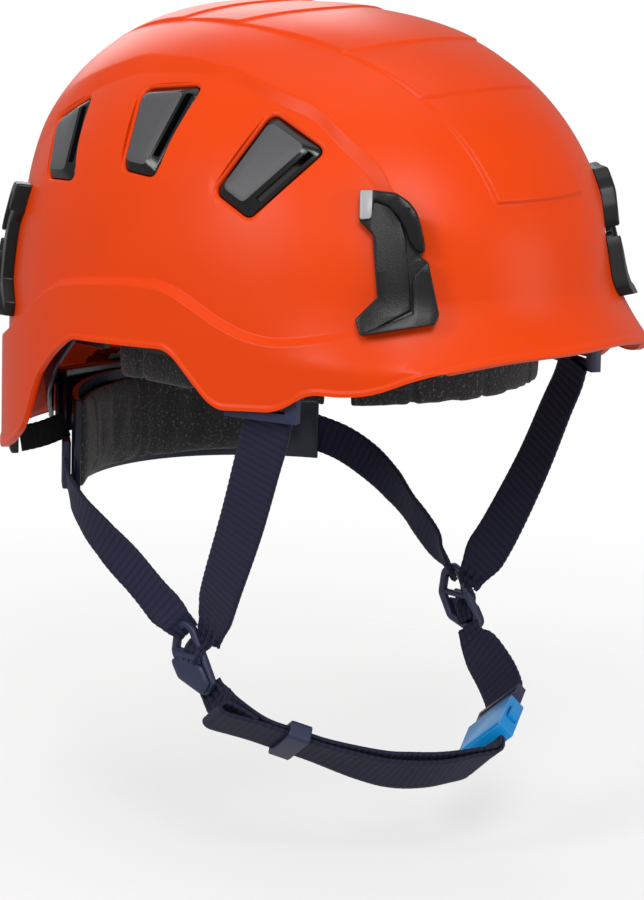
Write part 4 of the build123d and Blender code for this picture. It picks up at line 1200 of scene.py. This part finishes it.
def web(name, body, replaces, stations, width, thick, material, ribs=RIB_HEIGHT, gather=(0, 0), folds=4,
        mirror=False):
    """A strap along stations; gather is how far from each end it bunches, in millimetres."""
    frames = path_frames(stations, STEP_ALONG)
    rows = len(frames) - 1
    total = frames[-1][3]
    bm = bmesh.new()
    cloth_uv = bm.loops.layers.uv.new("cloth")
    bmesh.ops.create_grid(bm, x_segments=ACROSS, y_segments=rows, size=0.5)
    place_of = {}
    for vert in bm.verts:
        u, row = vert.co.x + 0.5, round((vert.co.y + 0.5) * rows)
        centre, across, out, along = frames[row]
        bunch = 0.0
        for reach, from_end in ((gather[0], along), (gather[1], total - along)):
            if reach:
                bunch = max(bunch, 1 - smooth_step(from_end, 0, reach))
        side = 2 * u - 1
        wide = width * (1 - GATHER_NARROW * bunch)
        ridge = abs(math.sin(math.pi * along / RIB_PITCH)) ** RIB_SHARP
        rib = ribs * (ridge - MEAN_RIDGE) * (1 - GATHER_FLAT * bunch)
        rib *= 1 - smooth_step(abs(side), RIB_END, 1.0)
        wave = bunch * GATHER_FOLD * math.sin(math.tau * folds * u + FOLD_DRIFT * math.sin(along))
        edge = EDGE_WAVE * (ridge - MEAN_RIDGE) * abs(side)
        place_of[vert] = (u * width * MM, along * MM)
        vert.co = centre + across * (side * (wide / 2 + edge)) + out * (rib + wave)
    for face in bm.faces:
        for loop in face.loops:
            loop[cloth_uv].uv = place_of[loop.vert]
    if mirror:
        flipped(bm)
    made = piece(name, bm, body, [material], replaces, smooth=60)
    body_thick = made.modifiers.new("thickness", "SOLIDIFY")
    body_thick.thickness = thick * MM
    body_thick.offset = 0
    apply_modifiers(made)
    return made


print("ribs", RIB_PITCH, "mm apart and", RIB_HEIGHT, "mm high")

# %% [markdown]
# On each side a front strap and a rear strap run down to a ring below the ear. The front one hangs
# from the shell. The rear one is narrower, and its upper end is on the cradle, which swings; the
# strap rides on no body, and its placement is baked into its mesh.

# %% Side straps
WEB_WIDTH, WEB_THICK, REAR_WIDTH = 20.0, 1.3, 15.0
FRONT_PATH = [((-85, -75, -12), (0.26, -0.96, 0)), ((-84.6, -72.5, -21), (0.25, -0.965, 0)),
              ((-83.6, -67.5, -33), (0.22, -0.97, 0)), ((-81.5, -57, -59), (0.14, -0.99, 0)),
              ((-78.6, -43.5, -87), (0.0, -0.99, -0.05)), ((-75.6, -35.5, -102), (-0.1, -0.97, -0.15)),
              ((-73.2, -30.5, -112), (-0.05, -0.95, -0.25))]
REAR_PATH = [((-68.6, 60.8, -61.8), (0.1, 0.3, 0.95)), ((-76.5, 49, -66.5), (0.05, 0.35, 0.93)),
             ((-80.6, 36, -73.2), (0, 0.42, 0.9)), ((-81.2, 22, -81.3), (0, 0.5, 0.87)),
             ((-79.6, 7, -91.2), (0, 0.6, 0.8)), ((-78.3, -7, -101.2), (0, 0.6, 0.8)),
             ((-76.8, -14, -106.3), (0, 0.6, 0.8)), ((-74.9, -20.5, -111.3), (0.0, 0.6, 0.8))]
for hand, mirror in HANDS:
    front = web(f"front_strap_{hand}", "helmet", [f"front_strap_{hand}"],
                FRONT_PATH, WEB_WIDTH, WEB_THICK, webbing, gather=(0, 17), mirror=mirror)
    rear = web(f"rear_strap_{hand}", None, [f"rear_strap_{hand}"],
               REAR_PATH, REAR_WIDTH, WEB_THICK, webbing, ribs=0.12, gather=(0, 16), mirror=mirror)
    blended(rear)

# %% [markdown]
# Below the ring the chin strap starts. On the right it runs under the jaw to the blue buckle, turns
# back there, and its tail comes back through a keeper and ends in a sewn loop to pull on. The tail
# is not drawn again: each of its stations lies one layer outside a station of the run. Between
# keeper and buckle the run is lifted away from its tail a little, as a slack strap hangs.

# %% The right chin strap's run
KEEPER_AT = Vector((-55.7, -60.1, -148.8))
KEEPER_ALONG = Vector((0.775, -0.524, -0.352)).normalized()
UP = (-0.3, -0.8, 0.53)
BUCKLE_AT = Vector((28.5, -84.9, -162.7))
BUCKLE_ALONG = Vector((0.82, 0.52, 0.24)).normalized()
BUCKLE_ACROSS = (0.25, -0.70, 0.66)
FOLD_AT = BUCKLE_AT - BUCKLE_ALONG * 1.9
LAYER_GAP = 2.1
KEEPER_SPAN = 13
RUN = [((-72.9, -31.5, -130.5), (0, -0.8, 0.6)), ((-72.2, -36.2, -136.2), (0, -0.8, 0.6)),
       ((-70.2, -43.5, -139.8), (-0.25, -0.75, 0.6)), (KEEPER_AT - KEEPER_ALONG * KEEPER_SPAN, UP),
       (KEEPER_AT, UP), (KEEPER_AT + KEEPER_ALONG * KEEPER_SPAN, UP),
       ((-28.2, -75.7, -160.8), (-0.13, -0.79, 0.6)), ((-15, -80.5, -164.7), (-0.13, -0.71, 0.69)),
       ((-2.4, -85.4, -165.9), (-0.1, -0.7, 0.7)), ((9.2, -88.5, -165.4), (0, -0.71, 0.7)),
       (FOLD_AT - BUCKLE_ALONG * 7, BUCKLE_ACROSS), (FOLD_AT, BUCKLE_ACROSS)]
LIFT = [0, 0, 0, 0, 0, 0.2, 1.2, 1.9, 1.6, 0.7, 0, 0]
tail = []
for i, (centre, across) in enumerate(RUN):
    ahead = Vector(RUN[min(len(RUN) - 1, i + 1)][0]) - Vector(RUN[max(0, i - 1)][0])
    out = ahead.cross(Vector(across)).normalized()
    tail.append((Vector(centre) + out * LAYER_GAP, across))
    RUN[i] = (Vector(centre) - out * LIFT[i], across)
inner_run = web("chin_strap_right", "helmet", ["chin_strap_right"], RUN, WEB_WIDTH, WEB_THICK, webbing,
                gather=(14, 0))

# %% [markdown]
# The tail is a second piece of the same strap. It starts with the tight turn round the buckle's bar,
# comes back over the run, and ends in a loop: the webbing is folded over and sewn down, so that a
# gloved finger can pull it. The loop is drawn as a small outline in the strap's own directions.

# %% The tail and its loop
outward = KEEPER_ALONG.cross(Vector(UP)).normalized()
start = tail[3][0]
fold_out = (tail[-1][0] - FOLD_AT).normalized()
turn = [(FOLD_AT + BUCKLE_ALONG * 0.5 + fold_out * 0.3, BUCKLE_ACROSS),
        (FOLD_AT + BUCKLE_ALONG * 1.2 + fold_out * LAYER_GAP / 2, BUCKLE_ACROSS),
        (FOLD_AT + BUCKLE_ALONG * 0.5 + fold_out * (LAYER_GAP - 0.3), BUCKLE_ACROSS)]
LOOP = [(8.0, 0.4), (15.0, 0.9), (18.6, 0.6), (20.0, -1.2), (18.6, -3.2), (15.0, -3.6), (9.0, -2.4),
        (4.0, -1.0)]
loop_path = [(start - KEEPER_ALONG * h + outward * v, UP) for h, v in LOOP]
tail_path = turn + list(reversed(tail[3:-1])) + loop_path
tail_strap = web("chin_strap_tail", "helmet", [], tail_path, WEB_WIDTH, WEB_THICK, webbing)

# %% [markdown]
# The left chin strap is short and fixed: it joins the left ring to the buckle's dark half, and nothing
# on it is pulled, so one plain run is enough.

# %% The left chin strap
LEFT_END = BUCKLE_AT + BUCKLE_ALONG * 39.2
LEFT_RUN = [(LEFT_END - BUCKLE_ALONG * 3.5, BUCKLE_ACROSS), (LEFT_END + BUCKLE_ALONG * 3, BUCKLE_ACROSS),
            ((68.3, -54, -147.5), (0.25, -0.72, 0.64)), ((71, -44.5, -141.5), (0.15, -0.78, 0.6)),
            ((72.2, -36.2, -136.2), (0, -0.8, 0.6)), ((72.9, -31.5, -130.5), (0, -0.8, 0.6))]
left_run = web("chin_strap_left", "helmet", ["chin_strap_left"], LEFT_RUN, WEB_WIDTH, WEB_THICK, webbing,
               gather=(0, 14))

# %% [markdown]
# The divider is a rounded triangular ring of navy plastic. The straps are gathered through it and
# folded round its crossbar, and a thick rounded leaf below locks them. Ring and leaf are drawn flat
# and lofted, since a loft takes the outline's own corners, and a torus or a box would not.

# %% The divider's ring and leaf
DIVIDER_CENTRE = Vector((-75.5, -24, -120))
DIVIDER_OUTLINE = [(-10, 10), (-4.5, 14.5), (1, 12), (13.5, -8.5), (9.5, -14.5), (-5.5, -10), (-11.5, 0)]
RING_SECTION = [(0.0, -0.9), (0.0, 0.9), (0.45, 1.42), (1.6, 1.6), (2.75, 1.42), (3.2, 0.9), (3.2, -0.9),
                (2.75, -1.42), (1.6, -1.6), (0.45, -1.42)]
LEAF_OUTLINE = [(-10.6, -1.9), (8.2, -1.9), (12.6, -8.6), (9.2, -13.6), (-5.3, -9.4)]
LEAF_RINGS = [(0.4, 1.85), (0.0, 2.2), (0.0, 2.9), (0.5, 3.35), (1.4, 3.65), (3.2, 3.8)]
LEAF_NECK = [(-4.4, -2.6), (4.4, -2.6), (4.4, 0.9), (-4.4, 0.9)]
BAR_V = 1.0


def divider_point(h, v, height):
    """A point of the right hand divider; h forward, v up, height outward."""
    return DIVIDER_CENTRE + Vector((-height, -h, v))


def divider_rings(outline, section, radius, least):
    """Rings of an outline, one for each (inset, height) of a section; corners get rounder outwards."""
    corners = [Vector(point) for point in outline]
    rings = []
    for inward, height in section:
        inset = inset_corners(corners, [inward] * len(corners))
        rounded = round_corners(inset, max(least, radius - inward), 6)
        rings.append([divider_point(p.x, p.y, height) for p in rounded])
    return rings


def round_bar(bm, places, height, deep, thick, count):
    """A round bar across the divider, level with its crossbar."""
    turns = [math.tau * k / count for k in range(count)]
    section = [(BAR_V + deep * math.cos(a), height + thick * math.sin(a)) for a in turns]
    loft_rings(bm, [[divider_point(h, v, out) for v, out in section] for h in places])


def divider_ring_mesh():
    """The ring, lofted round its outline, and its crossbar."""
    bm = bmesh.new()
    loft_rings(bm, divider_rings(DIVIDER_OUTLINE, RING_SECTION + RING_SECTION[:1], 4.6, 1.2), close=False)
    bmesh.ops.remove_doubles(bm, verts=bm.verts, dist=0.001)
    round_bar(bm, (-9.6, -5, 0, 4.6), 0, 1.35, 1.2, 12)
    return bm


def leaf_mesh():
    """The rounded locking leaf over the lower part of the ring."""
    bm = bmesh.new()
    loft_rings(bm, divider_rings(LEAF_OUTLINE, LEAF_RINGS, 3.4, 0.8))
    round_bar(bm, (-5.2, -1, 1, 5.2), 3.1, 1.3, 1.3, 16)
    loft_rings(bm, [[divider_point(h, v, height) for h, v in LEAF_NECK] for height in (2.1, 3.4)])
    return bm


print("corners of the ring", len(DIVIDER_OUTLINE), "and of the leaf", len(LEAF_OUTLINE))

# %% [markdown]
# The leaf rides on its own body, so that it can lift. The gathered webbing inside the ring is a short
# strap of its own, bunched along its whole length, which hides where the three straps meet.

# %% Dividers
BUNCH = [((-73.0, -30.2, -108.6), (0, -0.93, -0.35)), ((-74.2, -28.4, -113.0), (0.0, -0.93, -0.35)),
         ((-76.6, -27.0, -115.4), (0, -0.95, -0.3)), ((-78.3, -26.4, -118.6), (0, -0.97, -0.2)),
         ((-77.6, -26.0, -122.0), (0, -0.97, -0.1)), ((-75.0, -27.2, -124.4), (0, -0.97, 0.1)),
         ((-73.2, -30.0, -128.6), (0, -0.9, 0.4))]
for hand, mirror in HANDS:
    ring = divider_ring_mesh()
    leaf = leaf_mesh()
    if mirror:
        flipped(ring)
        flipped(leaf)
    made = piece(f"divider_{hand}", ring, "helmet", [navy_plastic], [f"divider_{hand}"], smooth=45)
    made = piece(f"divider_leaf_{hand}", leaf, f"{hand}_leaf", [navy_plastic], [f"divider_leaf_{hand}"],
                 smooth=45)
    made = web(f"strap_gather_{hand}", "helmet", [], BUNCH, 12.5, 1.1, webbing, ribs=0.1, gather=(40, 40),
               folds=3, mirror=mirror)

# %% [markdown]
# The keeper is a flat plastic sleeve round both layers of the chin strap. It is a closed loft: four
# rings along its outside, with a small chamfer at each end, and two back through its mouth.

# %% Keeper
KEEPER_RINGS = [(-4.4, 12.3 - 0.35, 3.75 - 0.35, 1.6), (-4.0, 12.3, 3.75, 1.6), (4.0, 12.3, 3.75, 1.6),
                (4.4, 12.3 - 0.35, 3.75 - 0.35, 1.6), (4.4, 10.5, 2.2, 0.5), (-4.4, 10.5, 2.2, 0.5)]
keeper_across = (Vector(UP) - KEEPER_ALONG * Vector(UP).dot(KEEPER_ALONG)).normalized()
keeper_middle = KEEPER_AT + outward * LAYER_GAP / 2
bm = bmesh.new()
rings = []
for along_keeper, half_wide, half_high, radius in KEEPER_RINGS:
    outline = round_corners(box_corners(half_wide, half_high), radius, 5)
    place = keeper_middle + KEEPER_ALONG * along_keeper
    rings.append([place + keeper_across * p.x + outward * p.y for p in outline])
loft_rings(bm, rings + rings[:1], close=False)
bmesh.ops.remove_doubles(bm, verts=bm.verts, dist=0.001)
bmesh.ops.recalc_face_normals(bm, faces=bm.faces)
made = piece("strap_keeper", bm, "keeper", [navy_plastic], ["strap_keeper"], smooth=40)

# %% [markdown]
# The moulded parts whose CAD form is right keep it, but a moulding has no knife edges. Drawing them
# again would only lose their measures, so each gets a merged copy of its CAD mesh with its edges
# rounded. A CAD mesh is all triangles, so flat faces are joined first; a bevel needs clean edges.

# %% Rounded copies of CAD parts
WELD, KNIFE_ANGLE = 2e-6, 32


def merged_mesh(data, flat_angle):
    """A CAD mesh with its points welded and its flat faces joined."""
    bm = bmesh.new()
    bm.from_mesh(data)
    bmesh.ops.remove_doubles(bm, verts=bm.verts, dist=WELD)
    bmesh.ops.dissolve_limit(bm, angle_limit=math.radians(flat_angle), verts=bm.verts, edges=bm.edges)
    bmesh.ops.recalc_face_normals(bm, faces=bm.faces)
    return bm


def rounded_copy(name, radius, material):
    """A CAD node's merged mesh with its edges rounded, riding on the same body."""
    node = frame["nodes"][name]
    bm = merged_mesh(node.data, 1.5)
    knife = math.radians(KNIFE_ANGLE)
    sharp = [edge for edge in bm.edges if edge.is_manifold and edge.calc_face_angle(0.0) > knife]
    bmesh.ops.bevel(bm, geom=sharp, offset=radius * MM, segments=2, profile=0.5, affect="EDGES",
                    material=-1, offset_type="OFFSET", clamp_overlap=True)
    bmesh.ops.triangulate(bm, faces=[face for face in bm.faces if len(face.verts) > 4])
    bmesh.ops.scale(bm, verts=bm.verts, vec=(TO_MM, TO_MM, TO_MM))
    made = piece(name + "_moulded", bm, node["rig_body"], [material], [name], smooth=KNIFE_ANGLE)


MOULDED = [("suspension_hooks", 0.4, inner_black), ("chin_anchor_right", 1.1, navy_plastic),
           ("chin_anchor_left", 1.1, navy_plastic), ("rear_strap_anchors", 0.7, navy_plastic),
           ("nape_strap_clips", 0.6, inner_black), ("adjuster_housing", 0.35, cradle_navy),
           ("adjuster_cover", 0.35, cradle_navy), ("adjuster_knob", 0.5, inner_black),
           ("nape_frame", 0.7, cradle_navy), ("headband", 0.5, inner_black),
           ("buckle_tongue", 0.5, navy_plastic), ("buckle_body", 1.1, buckle_blue),
           ("release_arm_upper", 0.4, buckle_blue), ("release_arm_lower", 0.4, buckle_blue)]
for name, radius, material in MOULDED:
    rounded_copy(name, radius, material)

# %% [markdown]
# Three straps cross over the head. They are flat woven tape, one above the other where they cross.
# Each starts at a hook on the headband's ellipse and climbs to its own height over the crown, on the
# same kind of curve as the dome, so that it follows the shell without touching it.

# %% Crown straps
BAND_X, BAND_Y, BAND_CENTRE_Y = 84.5, 103.5, -6.0
CROWN_STRAP_Z, CROWN_TOP_Z, CROWN_STRAP_WIDTH, LAYER_STEP = 27.4, 95.0, 19.0, 2.0
CROWN_POWER, CROWN_STEPS, BAND_GROW = 2.4, 12, 4


def band_place(angle, grow):
    """Plan place on the headband's ellipse; angles from the front, towards the wearer's right."""
    a = math.radians(angle)
    reach = 1 / math.hypot(math.sin(a) / (BAND_X + grow), math.cos(a) / (BAND_Y + grow))
    return -reach * math.sin(a), BAND_CENTRE_Y - reach * math.cos(a)


for name, start, end, top in (("side_to_side", 85, -85, 0), ("diagonal_lower", 35, -142, 1),
                              ("diagonal_upper", -35, 142, 2)):
    stations = []
    high = CROWN_TOP_Z + top * LAYER_STEP
    for i in range(-CROWN_STEPS, CROWN_STEPS + 1):
        turn = math.radians(start if i < 0 else end)
        g = math.sin(abs(i) / CROWN_STEPS * math.pi / 2)
        x, y = band_place(start if i < 0 else end, BAND_GROW)
        rise = max(0.0, 1 - g ** CROWN_POWER) ** (1 / CROWN_POWER)
        sign = -1 if i < 0 else 1
        centre = (x * g, BAND_CENTRE_Y + (y - BAND_CENTRE_Y) * g,
                  CROWN_STRAP_Z + (high - CROWN_STRAP_Z) * rise)
        stations.append((centre, (sign * math.cos(turn), -sign * math.sin(turn), 0)))
    made = web(f"crown_tape_{name}", "helmet", [f"crown_strap_{name}"], stations, CROWN_STRAP_WIDTH,
               1.2, webbing, ribs=0.08)

# %% [markdown]
# The pads are soft foam under cloth, and swell between their seams. A block with bevelled edges would
# look hard, so each starts as the CAD pad, is made of even voxels, and is blown up a little by the
# cloth solver. How far a point may move is capped, so that the pad keeps its place.

# %% Soft bodies for the pads
PAD_VOXEL, PAD_SHRINK, PAD_CAP, PAD_PRESSURE = 0.0032, 0.0007, 0.0022, 4.0
RELAX_ROUNDS, SWELL_FRAMES, CLOTH_QUALITY = 3, 20, 5


def voxel_body(made):
    """Turn a piece into a slightly smaller body of even voxels, with its edges relaxed."""
    shrink = made.modifiers.new("shrink", "DISPLACE")
    shrink.strength = -PAD_SHRINK
    shrink.mid_level = 0.0
    remesh = made.modifiers.new("voxels", "REMESH")
    remesh.mode = "VOXEL"
    remesh.voxel_size = PAD_VOXEL
    remesh.use_smooth_shade = True
    apply_modifiers(made)
    relax = made.modifiers.new("relax", "SMOOTH")
    relax.factor = 0.5
    relax.iterations = RELAX_ROUNDS
    apply_modifiers(made)


def swollen(made):
    """Blow a piece up by cloth pressure, moving no point further than the cap."""
    rest = [vert.co.copy() for vert in made.data.vertices]
    swell = made.modifiers.new("swell", "CLOTH")
    swell.settings.use_pressure = True
    swell.settings.uniform_pressure_force = PAD_PRESSURE
    swell.settings.effector_weights.gravity = 0
    swell.settings.quality = CLOTH_QUALITY
    swell.point_cache.frame_start = 1
    swell.point_cache.frame_end = SWELL_FRAMES
    for number in range(1, SWELL_FRAMES + 1):
        bpy.context.scene.frame_set(number)
    apply_modifiers(made)
    bpy.context.scene.frame_set(1)
    for vert, start in zip(made.data.vertices, rest):
        step = vert.co - start
        if step.length > PAD_CAP:
            vert.co = start + step * (PAD_CAP / step.length)


print("a pad's points may swell by", PAD_CAP * TO_MM, "mm")

# %% [markdown]
# The cover is stitched through the foam along seams. A seam is a valley pressed into the swollen body
# along its own normals, and where it runs is said by a small function of place. Straight pads get
# seams across them, and the round crown pad one ring.

# %% Seams
BAND_RADIUS = 90


def channels(spacing, wide, depth):
    """Seams running up a curved pad, spaced along its curve."""
    def seam_at(spot):
        turn = math.atan2(spot.x, -(spot.y - BAND_CENTRE_Y * MM)) * BAND_RADIUS
        gap = abs((turn + spacing / 2) % spacing - spacing / 2)
        return depth * (1 - smooth_step(gap, 0, wide))
    return seam_at


def rings_of(radius, wide, depth):
    """One round seam on the crown pad."""
    def seam_at(spot):
        gap = abs(math.hypot(spot.x, spot.y - BAND_CENTRE_Y * MM) * TO_MM - radius)
        return depth * (1 - smooth_step(gap, 0, wide))
    return seam_at


print("a seam's depth at its middle", channels(30, 2.2, 0.9)(Vector((0, -0.1, 0))), "mm")

# %% [markdown]
# Each pad takes its CAD node's place on the same body. The extra subdivision comes before the seams,
# so that they are not stepped.

# %% Soft pads
def padded_form(name, seam_at):
    """A CAD pad, swollen by the cloth solver, with seams pressed in where seam_at says."""
    node = frame["nodes"][name]
    bm = merged_mesh(node.data, 1.0)
    bmesh.ops.scale(bm, verts=bm.verts, vec=(TO_MM, TO_MM, TO_MM))
    made = piece(name + "_soft", bm, node["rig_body"], [pad_cloth], [name], smooth=180)
    voxel_body(made)
    swollen(made)
    finer = made.modifiers.new("finer", "SUBSURF")
    finer.levels = 1
    finer.render_levels = 1
    apply_modifiers(made)
    for vert in made.data.vertices:
        depth = seam_at(vert.co)
        if depth > 0:
            vert.co -= vert.normal * depth * MM
    for face in made.data.polygons:
        face.use_smooth = True
    print(name, len(made.data.polygons), "faces")


for name in ("headband_pad_front", "headband_pad_left", "headband_pad_right"):
    padded_form(name, channels(30, 2.2, 0.9))
padded_form("nape_pad", channels(40, 2.2, 0.8))
padded_form("crown_pad", rings_of(20, 2.0, 0.7))

# %% [markdown]
# Two short elastic straps tie the nape frame to the shell and pull it back when it is let go. They
# stretch as the cradle swings. Each is one strap drawn between its two ends; it rides on no body, and
# its placement is baked into its mesh.

# %% Elastic straps
FRAME_POINT, SHELL_POINT = Vector((-54.8, 77.6, -46)), Vector((-73.9, 84.4, -51))
SAG = Vector((0, 0, -0.8))
ELASTIC_PATH = [(FRAME_POINT, (0, 0, 1)), (FRAME_POINT.lerp(SHELL_POINT, 0.5) + SAG, (0, 0, 1)),
                (SHELL_POINT, (0, 0, 1))]
for hand, mirror in HANDS:
    made = web(f"nape_elastic_{hand}", None, [f"nape_strap_{hand}"], ELASTIC_PATH, 10.6, 1.2, elastic,
               ribs=0.1, mirror=mirror)
    blended(made)

# %% [markdown]
# The cradle arms are thin curved plates with a round eye at the pivot and a low band raised along
# their middle. They flex when the adjuster tightens; each runs from the cradle's pivot to the nape,
# rides on no body, and has its placement baked into its mesh. A plate is lofted from one section, carried
# along the same kind of path as a strap.

# %% Cradle arms
ARM_WIDE, ARM_PLATE = 18.0, 1.7
PIVOT_X, PIVOT_Y, PIVOT_Z = 78.8, 46.0, 6.0
LUG_HALF, ARM_GAP, ARM_HALF = 1.4, 0.4, 1.0
ARM_X = PIVOT_X + LUG_HALF + ARM_GAP + ARM_HALF
ARM_PATH = [((-ARM_X, PIVOT_Y, PIVOT_Z), (0, 0.7, 0.7)), ((-ARM_X, 54, -3), (0, 0.7, 0.7)),
            ((-79.5, 60.5, -10), (0.05, 0.6, 0.8)), ((-71, 72, -20), (0.1, 0.45, 0.9)),
            ((-60, 84, -29.5), (0.1, 0.3, 0.95)), ((-50, 93.5, -37), (0, 0.1, 1)),
            ((-43.0, 101.0, -41.5), (0, 0, 1))]
EYE_STEPS = [(2.56, -1.0), (9.6, -1.0), (10.0, -0.6), (10.0, 0.6), (9.6, 1.0), (2.56, 1.0), (2.56, -1.0)]
EYE_SIDES = 40


def eye_rings(centre):
    """Rings of the turned eye, one for each (radius, place along the pivot's axis)."""
    axis = Vector((1, 0, 0))
    first = axis.orthogonal().normalized()
    second = axis.cross(first)
    turns = [math.tau * k / EYE_SIDES for k in range(EYE_SIDES)]
    return [[centre + axis * place + (first * math.cos(a) + second * math.sin(a)) * radius for a in turns]
            for radius, place in EYE_STEPS]


for hand, mirror in HANDS:
    bm = bmesh.new()
    frames = path_frames(ARM_PATH, 2.0)
    half, deep = ARM_WIDE / 2, ARM_PLATE / 2
    section = [(-half, -deep + 0.5), (-half + 0.5, -deep), (-half + 2.0, -deep), (-half + 2.6, -deep - 0.35),
               (half - 2.6, -deep - 0.35), (half - 2.0, -deep), (half - 0.5, -deep), (half, -deep + 0.5),
               (half, deep - 0.5), (half - 0.5, deep), (-half + 0.5, deep), (-half, deep - 0.5)]
    loft_rings(bm, [[centre + across * u + out * v for u, v in section]
                    for centre, across, out, _ in frames])
    loft_rings(bm, eye_rings(Vector((-ARM_X, PIVOT_Y, PIVOT_Z))), close=False)
    bmesh.ops.remove_doubles(bm, verts=bm.verts, dist=0.0005)
    if mirror:
        flipped(bm)
    made = piece(f"cradle_plate_{hand}", bm, None, [cradle_navy], [f"cradle_arm_{hand}"], smooth=40)
    blended(made)
